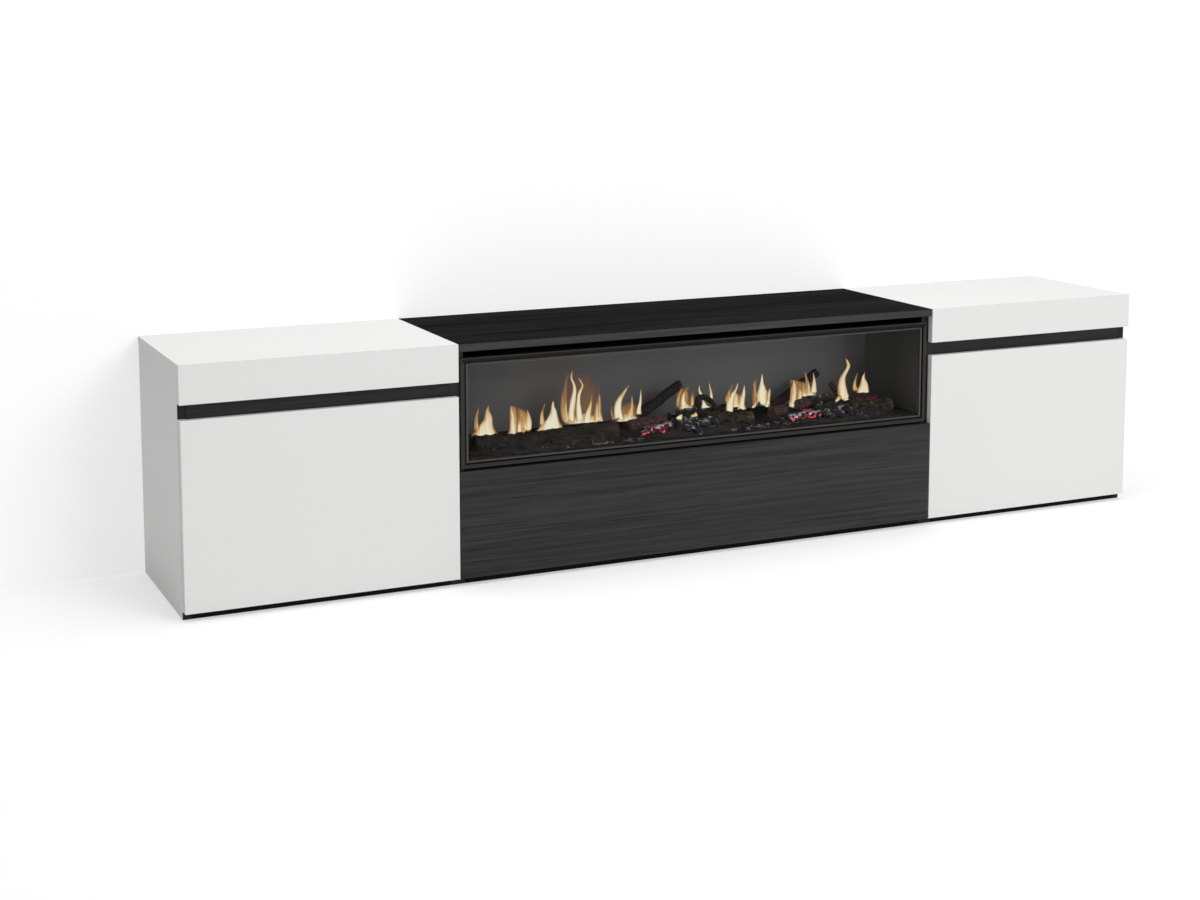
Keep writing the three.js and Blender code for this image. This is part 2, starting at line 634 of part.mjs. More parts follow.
function ventSlots() {
  const slots = [];
  const pitch = (centreInnerX * 2) / VENT_SLOT_SPACES;
  const halfLength = (pitch * VENT_SLOT_LENGTH_SHARE) / 2;
  for (let index = 0; index < VENT_SLOTS; index += 1) {
    const middle = (index - (VENT_SLOTS - 1) / 2) * pitch;
    slots.push(block(
      [middle - halfLength, middle + halfLength],
      [backFrontY - OVERRUN, carcassRearY + OVERRUN],
      [topUnderZ - VENT_SLOT_DROP - VENT_SLOT_HEIGHT, topUnderZ - VENT_SLOT_DROP],
    ));
  }
  return slots;
}

function centreCabinet() {
  const group = new THREE.Group();
  const between = [-centreInnerX, centreInnerX];
  const front = [-centreOuterX + CABINET_SEAM / 2, centreOuterX - CABINET_SEAM / 2];
  const depth = [carcassFrontY, carcassRearY];
  const hinges = [front[0] + HINGE_INSET, 0, front[1] - HINGE_INSET];
  for (const [name, side] of [['left', -1], ['right', 1]]) {
    const panel = board(onSide(side, centreInnerX, centreOuterX), depth, [0, topUnderZ]);
    addPiece(group, `centre_${name}_side`, panel, materials.black);
    const wall = side * centreInnerX;
    addStay(group, `centre_${name}_stay`, CENTRE_STAY, wall, -side);
  }
  const shelf = board(between, [carcassFrontY, backFrontY], [shelfUnderZ, shelfTopZ]);
  const back = cut(
    board(between, [backFrontY, carcassRearY], [0, topUnderZ]),
    cableHole(0, BOARD + CABLE_HOLE_RISE),
    cableHole(inletX, inletZ),
    ...ventSlots(),
  );
  const flap = cut(flapBoard(front, centreFlapTopZ, hinges), fingerBevel(front));
  const top = board(front, [frontY, topRearY], [topUnderZ, HEIGHT]);
  addPiece(group, 'centre_top', top, materials.black);
  addPiece(group, 'centre_bottom', bottomBoard(between, hinges), materials.black);
  addPiece(group, 'centre_shelf', shelf, materials.black);
  addPiece(group, 'centre_back', back, materials.black);
  addPiece(group, 'centre_flap', flap, materials.black);
  addHinges(group, 'centre', hinges);
  return group;
}

// A ring of the trim's front, from one border width to another, sunk to a depth
function trimRing(outerBorder, innerBorder, front, rear) {
  const around = (border) => ({
    x: [-trimHalfWidth + border, trimHalfWidth - border],
    z: [trimBottomZ + border, trimTopZ - border],
  });
  const outside = around(outerBorder);
  const inside = around(innerBorder);
  return cut(
    block(outside.x, [front, rear], outside.z),
    block(inside.x, [front - OVERRUN, rear + OVERRUN], inside.z),
  );
}

function fireTrim() {
  const face = carcassFrontY - TRIM_PROUD;
  const openHalf = trimHalfWidth - TRIM_SIDE_BORDER;
  const openLow = trimBottomZ + TRIM_BORDER;
  const openHigh = trimTopZ - TRIM_BORDER;
  const plate = board([-trimHalfWidth, trimHalfWidth], [face, carcassFrontY], [trimBottomZ, trimTopZ]);
  const opening = block(
    [-openHalf, openHalf],
    [face - OVERRUN, carcassFrontY + OVERRUN],
    [openLow, openHigh],
  );
  const rebate = block(
    [-glassHalfWidth - CUT_GAP, glassHalfWidth + CUT_GAP],
    [carcassFrontY - GLASS - CUT_GAP, carcassFrontY + OVERRUN],
    [openLow - GLASS_LAP - CUT_GAP, openHigh + GLASS_LAP + CUT_GAP],
  );
  const grooveEnd = TRIM_BORDER - TRIM_BEAD;
  const groove = trimRing(TRIM_FLANGE, grooveEnd, face - OVERRUN, face + TRIM_GROOVE_DEPTH - CUT_GAP);
  const bead = trimRing(
    grooveEnd - CUT_GAP, TRIM_SIDE_BORDER + OVERRUN, face - OVERRUN, face + TRIM_BEAD_DROP,
  );
  return cut(plate, opening, rebate, groove, bead);
}

function fireGlass() {
  return board(
    [-glassHalfWidth, glassHalfWidth],
    [carcassFrontY - GLASS, carcassFrontY],
    [trimBottomZ + TRIM_BORDER - GLASS_LAP, trimTopZ - TRIM_BORDER + GLASS_LAP],
    EDGE_EASE / 2,
  );
}

// A folded steel box, open to the glass, with louvres along its top and low in its back
function fireHousing() {
  const box = block(
    [-insertHalfWidth, insertHalfWidth],
    [insertFrontY, insertRearY],
    [insertBottomZ, insertTopZ],
  );
  const room = block(
    [-insertHalfWidth + INSERT_WALL, insertHalfWidth - INSERT_WALL],
    [insertFrontY + INSERT_WALL, insertRearY - INSERT_WALL],
    [insertBottomZ + INSERT_WALL, insertTopZ - INSERT_WALL],
  );
  const mouth = block(
    [-fireWidth / 2, fireWidth / 2],
    [insertFrontY - OVERRUN, insertFrontY + INSERT_WALL + OVERRUN],
    [trimBottomZ + TRIM_BORDER, trimTopZ - TRIM_BORDER],
  );
  const louvres = [];
  const pitch = (insertHalfWidth * 2) / LOUVRE_SPACES;
  for (let index = 0; index < LOUVRES; index += 1) {
    const x = (index - (LOUVRES - 1) / 2) * pitch;
    const width = [x - LOUVRE_LENGTH / 2, x + LOUVRE_LENGTH / 2];
    const rear = insertRearY - LOUVRE_SETBACK;
    louvres.push(block(
      width,
      [rear - LOUVRE_WIDTH, rear],
      [insertTopZ - INSERT_WALL - OVERRUN, insertTopZ + OVERRUN],
    ));
    const low = insertBottomZ + LOUVRE_SETBACK;
    louvres.push(block(
      width,
      [insertRearY - INSERT_WALL - OVERRUN, insertRearY + OVERRUN],
      [low, low + LOUVRE_WIDTH],
    ));
  }
  return cut(box, room, mouth, ...louvres);
}

function flameScreen() {
  const half = insertHalfWidth - INSERT_WALL - SCREEN_SIDE_GAP;
  const low = insertBottomZ + INSERT_WALL + CUT_GAP;
  const high = insertTopZ - INSERT_WALL - SCREEN_SIDE_GAP;
  return board([-half, half], [screenFrontY, screenFrontY + SCREEN], [low, high], EDGE_EASE);
}

// A shallow tray with a rim round it, which carries the logs
function emberTray() {
  const half = insertHalfWidth - INSERT_WALL - SCREEN_SIDE_GAP;
  const front = insertFrontY + TRAY_FRONT_GAP;
  const rear = screenFrontY - SCREEN_SIDE_GAP;
  const tray = board([-half, half], [front, rear], [trayBottomZ, trayBottomZ + TRAY_HEIGHT + TRAY_RIM]);
  const hollow = block(
    [-half + TRAY_RIM_WIDTH, half - TRAY_RIM_WIDTH],
    [front + TRAY_RIM_WIDTH, rear - TRAY_RIM_WIDTH],
    [trayBottomZ + TRAY_HEIGHT, trayBottomZ + TRAY_HEIGHT + TRAY_RIM + OVERRUN],
  );
  return cut(tray, hollow);
}

function firePlace([along, back, up]) {
  return new THREE.Vector3(
    along * fireWidth,
    fireFrontY + back * fireDepth,
    fireFloorZ + up * fireHeight,
  );
}

// A closed tube with fluted bark: rings round a curve, tapering from one girth to the other
function logGeometry({ path, girth }) {
  const curve = new THREE.CatmullRomCurve3(path.map(firePlace));
  const frames = curve.computeFrenetFrames(LOG_STEPS, false);
  const positions = [];
  for (let step = 0; step <= LOG_STEPS; step += 1) {
    const share = step / LOG_STEPS;
    const centre = curve.getPointAt(share);
    const radius = fireHeight * (girth[0] + (girth[1] - girth[0]) * share);
    for (let side = 0; side < LOG_SEGMENTS; side += 1) {
      const angle = (side / LOG_SEGMENTS) * Math.PI * 2;
      const flute = Math.cos(LOG_FLUTE_COUNT * (angle + share * LOG_TWIST_TURNS * Math.PI * 2));
      const reach = radius * (1 + LOG_FLUTE_SHARE * flute);
      const point = centre.clone();
      point.addScaledVector(frames.normals[step], reach * Math.cos(angle));
      point.addScaledVector(frames.binormals[step], reach * Math.sin(angle));
      positions.push(point.x, point.y, point.z);
    }
  }
  const index = [];
  for (let step = 0; step < LOG_STEPS; step += 1) {
    for (let side = 0; side < LOG_SEGMENTS; side += 1) {
      const next = (side + 1) % LOG_SEGMENTS;
      const [a, b] = [step * LOG_SEGMENTS + side, step * LOG_SEGMENTS + next];
      const [c, d] = [a + LOG_SEGMENTS, b + LOG_SEGMENTS];
      index.push(a, b, d, a, d, c);
    }
  }
  for (let side = 2; side < LOG_SEGMENTS; side += 1) {
    const end = LOG_STEPS * LOG_SEGMENTS;
    index.push(0, side, side - 1);
    index.push(end, end + side - 1, end + side);
  }
  return closedGeometry(positions, index);
}

function closedGeometry(positions, index) {
  const geometry = new THREE.BufferGeometry();
  geometry.setAttribute('position', new THREE.Float32BufferAttribute(positions, 3));
  geometry.setIndex(index);
  return geometry;
}

// A low lumpy dome of embers, flat underneath
function bedGeometry({ middleShares, halfShares, riseShare }) {
  const middle = firePlace([...middleShares, 0]);
  const positions = [middle.x, middle.y, middle.z + riseShare * fireHeight];
  for (let ring = 1; ring <= BED_RING_COUNT; ring += 1) {
    const out = ring / BED_RING_COUNT;
    for (let step = 0; step < BED_SEGMENTS; step += 1) {
      const angle = (step / BED_SEGMENTS) * Math.PI * 2;
      const lump = 1 + BED_LUMP_SHARE * out * Math.sin(BED_LUMP_COUNT * angle + ring);
      const rise = ring === BED_RING_COUNT ? 0 : Math.sqrt(1 - out * out) * riseShare * lump;
      positions.push(
        middle.x + Math.cos(angle) * out * halfShares[0] * fireWidth,
        middle.y + Math.sin(angle) * out * halfShares[1] * fireDepth,
        middle.z + rise * fireHeight,
      );
    }
  }
  const foot = positions.length / 3;
  positions.push(middle.x, middle.y, middle.z);
  const index = [];
  const at = (ring, step) => 1 + (ring - 1) * BED_SEGMENTS + (step % BED_SEGMENTS);
  for (let step = 0; step < BED_SEGMENTS; step += 1) {
    index.push(0, at(1, step), at(1, step + 1));
    for (let ring = 1; ring < BED_RING_COUNT; ring += 1) {
      index.push(at(ring, step), at(ring + 1, step), at(ring + 1, step + 1));
      index.push(at(ring, step), at(ring + 1, step + 1), at(ring, step + 1));
    }
    index.push(at(BED_RING_COUNT, step), foot, at(BED_RING_COUNT, step + 1));
  }
  return closedGeometry(positions, index);
}

// One moulded set of logs on its bed, cut level where it lies on the tray
function logSet(name) {
  const logs = join(bedGeometry(BED_SHARES[name]), ...LOG_SHARES[name].map(logGeometry));
  const below = block(
    [-fireWidth, fireWidth],
    [fireFrontY - fireDepth, fireFrontY + fireDepth * 2],
    [fireFloorZ - fireHeight, fireFloorZ],
  );
  return cut(logs, below);
}

// The inlet faces the cabinet's back: a walled socket with its blades
function powerInlet() {
  const [x, z] = [inletX, inletZ];
  const front = insertRearY + CUT_GAP;
  const body = board(
    [x - INLET_WIDTH / 2, x + INLET_WIDTH / 2],
    [front, front + INLET_DEPTH],
    [z - INLET_HEIGHT / 2, z + INLET_HEIGHT / 2],
  );
  const hollow = block(
    [x - INLET_WIDTH / 2 + INLET_WALL, x + INLET_WIDTH / 2 - INLET_WALL],
    [front + INLET_FLOOR, front + INLET_DEPTH + OVERRUN],
    [z - INLET_HEIGHT / 2 + INLET_WALL, z + INLET_HEIGHT / 2 - INLET_WALL],
  );
  const blades = [-1, 0, 1].map((step) => block(
    [x + step * INLET_BLADE_PITCH - INLET_BLADE / 2, x + step * INLET_BLADE_PITCH + INLET_BLADE / 2],
    [front + INLET_FLOOR - INLET_BLADE, front + INLET_FLOOR + INLET_BLADE_LENGTH],
    [z - INLET_BLADE * 2, z + INLET_BLADE * 2],
  ));
  return join(cut(body, hollow), ...blades);
}

function fireplace() {
  const group = new THREE.Group();
  addPiece(group, 'fire_trim', fireTrim(), materials.trim);
  addPiece(group, 'fire_glass', fireGlass(), materials.glass);
  addPiece(group, 'fire_housing', fireHousing(), materials.housing);
  addPiece(group, 'fire_screen', flameScreen(), materials.screen);
  addPiece(group, 'fire_tray', emberTray(), materials.housing);
  for (const name of ['left', 'centre', 'right']) {
    addPiece(group, `fire_logs_${name}`, logSet(name), materials.embers);
  }
  addPiece(group, 'fire_power_inlet', powerInlet(), materials.socket);
  return group;
}

const cabinet = new THREE.Group();
cabinet.add(sideCabinet('left', -1), sideCabinet('right', 1), centreCabinet(), fireplace());

export default cabinet;
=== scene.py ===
"""A wall-length media cabinet with an electric fireplace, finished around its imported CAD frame.

Metres, +Z up. The fronts face -Y and the floor is at Z = 0. The operators give finishes to the
frame's nodes, put detailed logs in place of its plain ones, add the flames, and set the stage.
"""

import math

import bpy
import numpy as np
from bpy.props import FloatProperty, FloatVectorProperty, IntProperty, PointerProperty
from mathutils import Euler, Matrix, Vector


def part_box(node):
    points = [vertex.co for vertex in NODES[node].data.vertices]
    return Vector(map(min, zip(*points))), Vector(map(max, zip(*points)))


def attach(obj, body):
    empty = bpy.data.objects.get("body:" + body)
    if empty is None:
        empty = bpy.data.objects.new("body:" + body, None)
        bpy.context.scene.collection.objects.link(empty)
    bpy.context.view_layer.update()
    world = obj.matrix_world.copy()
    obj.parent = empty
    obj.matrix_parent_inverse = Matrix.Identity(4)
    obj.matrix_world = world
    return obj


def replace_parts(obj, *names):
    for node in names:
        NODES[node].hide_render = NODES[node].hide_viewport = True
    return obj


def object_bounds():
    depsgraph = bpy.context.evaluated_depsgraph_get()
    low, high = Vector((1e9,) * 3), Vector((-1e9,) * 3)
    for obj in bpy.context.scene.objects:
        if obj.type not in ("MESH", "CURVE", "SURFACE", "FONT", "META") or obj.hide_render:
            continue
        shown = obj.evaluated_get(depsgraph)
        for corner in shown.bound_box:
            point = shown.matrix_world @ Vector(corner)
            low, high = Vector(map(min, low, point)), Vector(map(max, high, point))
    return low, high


bl_info = {
    "name": "Media cabinet with fireplace",
    "version": (1, 0, 0),
    "blender": (4, 5, 0),
    "location": "View3D > Sidebar > Cabinet",
    "description": "Finishes, logs, flames and stage for a cabinet with an electric fireplace",
    "category": "Object",
}

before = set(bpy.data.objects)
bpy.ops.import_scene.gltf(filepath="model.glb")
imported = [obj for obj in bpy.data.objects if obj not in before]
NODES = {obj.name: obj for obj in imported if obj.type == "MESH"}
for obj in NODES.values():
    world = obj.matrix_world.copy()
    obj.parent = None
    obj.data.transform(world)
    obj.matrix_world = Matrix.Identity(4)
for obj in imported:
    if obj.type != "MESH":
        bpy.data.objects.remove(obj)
CAD_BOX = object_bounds()

MM = 0.001
TURN = 2 * math.pi
CARCASS = "carcass"

# The fireplace's trim: how wide it is at the sides and the top, how far in from its outer edge the
# groove begins and ends and the rim ends, and half the width over which two paints meet
TRIM_LOW, TRIM_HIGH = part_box("fire_trim")
TRIM_SIDE = 18 * MM
TRIM_BORDER = 16 * MM
TRIM_GROOVE = (9 * MM, 13 * MM)
TRIM_RIM = 2 * MM
PAINT_EDGE = 0.1 * MM

# The fire space: between the housing's front lip and the flame screen, above the ember tray
FIRE_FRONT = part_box("fire_housing")[0].y + 2 * MM
FIRE_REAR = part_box("fire_screen")[0].y
FIRE_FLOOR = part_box("fire_logs_left")[0].z
FIRE_SPACE = np.array([
    TRIM_HIGH.x - TRIM_LOW.x - 2 * TRIM_SIDE,
    FIRE_REAR - FIRE_FRONT,
    TRIM_HIGH.z - TRIM_BORDER - FIRE_FLOOR,
])
FIRE_CORNER = np.array([0.0, FIRE_FRONT, FIRE_FLOOR])


# Shader nodes


class Wire:
    """An output in a node tree. Arithmetic on wires adds Math nodes."""

    def __init__(self, nodes, socket):
        self.nodes = nodes
        self.socket = socket

    def __add__(self, other):
        return self.nodes.maths("ADD", self, other)

    def __sub__(self, other):
        return self.nodes.maths("SUBTRACT", self, other)

    def __rsub__(self, other):
        return self.nodes.maths("SUBTRACT", other, self)

    def __mul__(self, other):
        return self.nodes.maths("MULTIPLY", self, other)

    def __truediv__(self, other):
        return self.nodes.maths("DIVIDE", self, other)

    def __rtruediv__(self, other):
        return self.nodes.maths("DIVIDE", other, self)

    def __abs__(self):
        return self.nodes.maths("ABSOLUTE", self)

    __radd__ = __add__
    __rmul__ = __mul__


class Nodes:
    """A node tree that is filled from empty."""

    def __init__(self, owner):
        owner.use_nodes = True
        self.tree = owner.node_tree
        self.tree.nodes.clear()

    def node(self, kind, values=None, output=0, **settings):
        """Adds any node: its settings come first, then its sockets' values or links."""
        node = self.tree.nodes.new("ShaderNode" + kind)
        for key, value in settings.items():
            if key == "stops":
                for place, _ in value[1:-1]:
                    node.color_ramp.elements.new(place)
                for element, (place, colour) in zip(node.color_ramp.elements, value):
                    element.position = place
                    element.color = (*colour, 1)
            else:
                setattr(node, key, value)
        for key, value in (values or {}).items():
            socket = node.inputs[key]
            if isinstance(value, Wire):
                self.tree.links.new(value.socket, socket)
            elif socket.type == "RGBA":
                socket.default_value = (*value, 1)
            else:
                socket.default_value = value
        return Wire(self, node.outputs[output]) if node.outputs else None

    def maths(self, operation, *values):
        return self.node("Math", dict(enumerate(values)), operation=operation)

    def mix(self, share, first, second, blend="MIX"):
        """Mixes two colours."""
        values = {0: share, 6: first, 7: second}
        return self.node("Mix", values, output=2, data_type="RGBA", blend_type=blend)

    def between(self, value, low, high, to_low=0.0, to_high=1.0):
        """Maps a range onto another, held at both ends."""
        values = {
            "Value": value, "From Min": low, "From Max": high, "To Min": to_low, "To Max": to_high}
        return self.node("MapRange", values, clamp=True)

    def ramp(self, value, *stops):
        return self.node("ValToRGB", {"Fac": value}, stops=stops)


class Finish(Nodes):
    """A material with one Principled shader."""

    def __init__(self, name):
        self.material = bpy.data.materials.new(name)
        super().__init__(self.material)

    def show(self, **sockets):
        """Adds the shader. Its sockets' spaces are written as underscores."""
        values = {key.replace("_", " "): value for key, value in sockets.items()}
        shader = self.node("BsdfPrincipled", values)
        self.node("OutputMaterial", {"Surface": shader})
        return self

    def places(self, stretch=(1, 1, 1)):
        """Object coordinates, stretched."""
        source = self.node("TexCoord", output="Object")
        return self.node("Mapping", {"Vector": source, "Scale": stretch})

    def place(self, axis):
        """One of the object coordinates."""
        return self.node("SeparateXYZ", {0: self.places()}, output=axis)

    def mark(self, name):
        """A value that the piece's mesh holds at each vertex."""
        return self.node("Attribute", output="Fac", attribute_name=name)

    def noise(self, where=None, scale=1.0, detail=3.0, rough=0.6, distort=0.0):
        """A noise, on the object coordinates where no others are given."""
        values = {
            "Vector": where or self.places(), "Scale": scale, "Detail": detail, "Roughness": rough,
            "Distortion": distort}
        return self.node("TexNoise", values)

    def tint(self, colour, level):
        """A colour made lighter or darker by a changing level."""
        return self.mix(1.0, colour, level, "MULTIPLY")

    def bump(self, height, distance, strength=1.0):
        values = {"Height": height, "Distance": distance, "Strength": strength}
        return self.node("Bump", values)


def grey(level):
    return (level, level, level)


def shaded(colour, factor):
    """A colour made lighter or darker by a number."""
    return tuple(factor * part for part in colour)


def wear(finish, *parts):
    """Gives a finish to the CAD nodes whose names hold one of the parts, in their own slots."""
    for name, node in NODES.items():
        if any(part in name for part in parts):
            for slot in node.material_slots:
                slot.material = finish.material


def grain_lines(finish, along, size):
    """Long wood-grain streaks that run along one axis: broad bands, streaks and fine pores.

    Each is a noise that is stretched along the grain, so it changes slowly there and fast across.
    """
    def stretched(slow, fast):
        return finish.places(tuple((slow if axis == along else fast) / size for axis in "XYZ"))

    bands = finish.noise(stretched(0.55, 9), rough=0.55, distort=0.6)
    streaks = finish.noise(stretched(1.9, 125), detail=4, rough=0.72)
    pores = finish.noise(stretched(7, 520), detail=2)
    return bands, streaks, finish.between(pores, 0.56, 0.68)


def board_finish(name, colour, size, along, contrast, rough, shine, edge):
    """Foil with a printed and pressed wood grain.

    Where edge isn't 1, the board's upright faces are painted lighter by that factor, and evener:
    painted sheen where the factor is over 1, painted shade where it is under 1.
    """
    finish = Finish(name)
    bands, streaks, pores = grain_lines(finish, along, size)
    level = 1 + (bands - 0.5) * contrast * 0.9 + (streaks - 0.5) * contrast * 3.2
    level = level - pores * contrast * 0.5
    # Painted light: the upright faces are painted lighter or darker than the board's top by the
    # factor edge
    if edge != 1:
        facing = finish.node("NewGeometry", output="Normal")
        up = finish.node("SeparateXYZ", {0: facing}, output="Z")
        flat = finish.between(abs(up), 0.3, 0.9)
        even = EDGE_GRAIN + flat * (1 - EDGE_GRAIN)
        level = (1 + (level - 1) * even) * (edge + flat * (1 - edge))
    return finish.show(
        Base_Color=finish.tint(colour, level),
        Roughness=rough + (streaks - 0.5) * 0.16 + pores * 0.1,
        Normal=finish.bump(streaks * 0.8 - pores * 0.6, 0.25 * MM, 0.35),
        Specular_IOR_Level=shine,
    )


class LookSettings(bpy.types.PropertyGroup):
    """Colours and sizes of the finishes."""

    lacquer: FloatVectorProperty(
        name="Lacquer", description="Colour of the white lacquered boards",
        subtype="COLOR", size=3, min=0, max=1, default=(0.86, 0.86, 0.855))
    board: FloatVectorProperty(
        name="Black board", description="Colour of the black wood-grain boards",
        subtype="COLOR", size=3, min=0, max=1, default=(0.0165, 0.0165, 0.0172))
    grain_size: FloatProperty(
        name="Grain size", description="How coarse the pressed wood grain is",
        subtype="FACTOR", min=0.2, max=4, default=1)
    screen: FloatVectorProperty(
        name="Flame screen", description="Colour of the grey screen behind the flames",
        subtype="COLOR", size=3, min=0, max=1, default=(0.293, 0.304, 0.322))


class StageSettings(bpy.types.PropertyGroup):
    """The floor, wall, lamps and camera."""

    room: FloatProperty(
        name="Room", description="Half the width of the floor and the wall",
        subtype="DISTANCE", unit="LENGTH", min=2, default=14)
    sky: FloatProperty(
        name="Soft light", description="Strength of the even light from all round",
        min=0, default=0.595)
    key: FloatProperty(
        name="Key lamp", description="Power of the large lamp at the front right",
        min=0, default=357)
    top: FloatProperty(
        name="Top lamp", description="Power of the large lamp overhead", min=0, default=67)
    clear_layers: IntProperty(
        name="Clear layers", description="How many layers of flame and glass the light passes",
        min=8, default=28)
    lens: FloatProperty(
        name="Lens", description="The camera's focal length on a 36 mm wide sensor",
        subtype="DISTANCE_CAMERA", min=10, default=56.5719)
    camera_place: FloatVectorProperty(
        name="Camera", description="Where the camera stands",
        subtype="TRANSLATION", unit="LENGTH", size=3, default=(-2.16122, -4.23892, 1.29705))
    camera_turn: FloatProperty(
        name="Camera turn", description="How far the camera looks to the right of straight on",
        subtype="ANGLE", unit="ROTATION", default=math.radians(24.8772))
    camera_dip: FloatProperty(
        name="Camera dip", description="How far the camera looks down",
        subtype="ANGLE", unit="ROTATION", default=math.radians(6.9654))
    camera_shift: FloatProperty(
        name="Camera shift", description="How far the picture is moved, as a share of its width",
        min=-1, max=1, default=-0.16)


# Finishes for the frame's own nodes

# The black boards' finishes: what each is for, how light it is painted, its grain's direction,
# contrast, roughness and shine with how much lighter or darker its upright faces are painted, and
# parts of its nodes' names. They are lit and shaded copies of one black: the flap and finger rails
# are painted lighter for a painted sheen and the shelf darker for painted shade in the gap under
# the trim; the top's front edge is painted lighter for a painted sheen and the bottoms' front
# edges darker for painted shade
BOARDS = [
    ("front", 1.36, ("X", 1.15, 0.5, 0.4, 1), "centre_flap"),
    ("rails", 1.18, ("X", 0.8, 0.55, 0.3, 1), "finger_rail"),
    ("top", 1, ("X", 1.05, 0.66, 0.0, 3.7), "centre_top"),
    ("carcass", 1, ("X", 0.55, 0.55, 0.35, 1), "_back"),
    ("bottoms", 1, ("X", 0.55, 0.6, 0.1, 0.45), "_bottom"),
    ("shelf", 0.45, ("X", 0.5, 0.7, 0.1, 1), "centre_shelf"),
    ("sides", 1, ("Y", 0.55, 0.55, 0.4, 1), "inner_side", "centre_left_side", "centre_right_side"),
]

# How much grain is left on a board's upright faces where they are painted lighter or darker,
# how light the edge band is beside the boards, how far from its inner side its dark seam begins
# and stops fading, and how high over the fire's floor the flame screen is painted darker, as
# painted shade behind the logs
EDGE_GRAIN = 0.35
BAND_BLACK = 0.6
BAND_SEAM = (0.6 * MM, 1.6 * MM)
SCREEN_SHADE_HEIGHT = 140 * MM


class CABINET_OT_lacquer(bpy.types.Operator):
    """Give the white boards their satin lacquer"""

    bl_idname = "cabinet.lacquer"
    bl_label = "White lacquer"

    def execute(self, context):
        colour = tuple(context.scene.cabinet_look.lacquer)
        finish = Finish("white lacquer")
        cloud = finish.noise(scale=2.6, detail=4)
        peel = finish.noise(scale=420, detail=2, rough=0.5)
        finish.show(
            Base_Color=finish.tint(colour, 1 + (cloud - 0.5) * 0.014),
            Roughness=0.34 + (cloud - 0.5) * 0.08,
            Normal=finish.bump(peel, 0.02 * MM, 0.5),
            Coat_Weight=0.12,
            Coat_Roughness=0.18,
        )
        wear(finish, "outer_side", "fascia", "left_top", "right_top", "left_flap", "right_flap")
        return {"FINISHED"}


class CABINET_OT_boards(bpy.types.Operator):
    """Give the black boards their pressed wood grain, and the white ones' edges their band"""

    bl_idname = "cabinet.boards"
    bl_label = "Black boards"

    def execute(self, context):
        look = context.scene.cabinet_look
        # Each board's colour is the black scaled by its painted light: lighter for a painted sheen,
        # darker for painted shade
        for use, light, facts, *parts in BOARDS:
            colour = shaded(look.board, light)
            wear(board_finish(f"black grain {use}", colour, look.grain_size, *facts), *parts)
        band = Finish("two-tone edge band")
        speck = band.noise(band.places((300, 300, 30)), detail=2)
        height, along = band.place("Z"), abs(band.place("X"))
        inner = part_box("right_side_edging")[0].x
        seam = band.between(along, inner + BAND_SEAM[0], inner + BAND_SEAM[1], 0.25, 1)
        low, high = (corner.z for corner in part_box("left_flap"))
        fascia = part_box("left_fascia")[0].z
        hidden = band.maths("GREATER_THAN", height, low) * band.maths("LESS_THAN", height, high)
        hidden = hidden + band.maths("GREATER_THAN", height, fascia)
        tone = band.mix(hidden, shaded(look.board, BAND_BLACK), tuple(look.lacquer))
        band.show(
            Base_Color=band.tint(tone, seam * (0.92 + speck * 0.16)),
            Roughness=0.46 + speck * 0.1,
            Specular_IOR_Level=0.3,
        )
        wear(band, "side_edging")
        return {"FINISHED"}


class CABINET_OT_metalwork(bpy.types.Operator):
    """Give the flap hinges and stays their steel"""

    bl_idname = "cabinet.metalwork"
    bl_label = "Hinges and stays"

    def execute(self, context):
        nickel = Finish("nickel plate")
        cloud = nickel.noise(scale=55, detail=4)
        nickel.show(
            Base_Color=(0.56, 0.55, 0.53),
            Metallic=1.0,
            Roughness=0.2 + cloud * 0.16,
            Normal=nickel.bump(cloud, 0.03 * MM, 0.4),
        )
        zinc = Finish("zinc steel")
        flake = zinc.node("TexVoronoi", {"Vector": zinc.places(), "Scale": 190.0}, output="Color")
        rub = zinc.noise(zinc.places((30, 260, 260)))
        zinc.show(
            Base_Color=zinc.mix(flake, (0.33, 0.34, 0.35), (0.47, 0.48, 0.49)),
            Metallic=1.0,
            Roughness=0.3 + rub * 0.22,
            Normal=zinc.bump(rub, 0.03 * MM, 0.4),
        )
        wear(nickel, "_hinge_")
        wear(zinc, "_stay_")
        return {"FINISHED"}


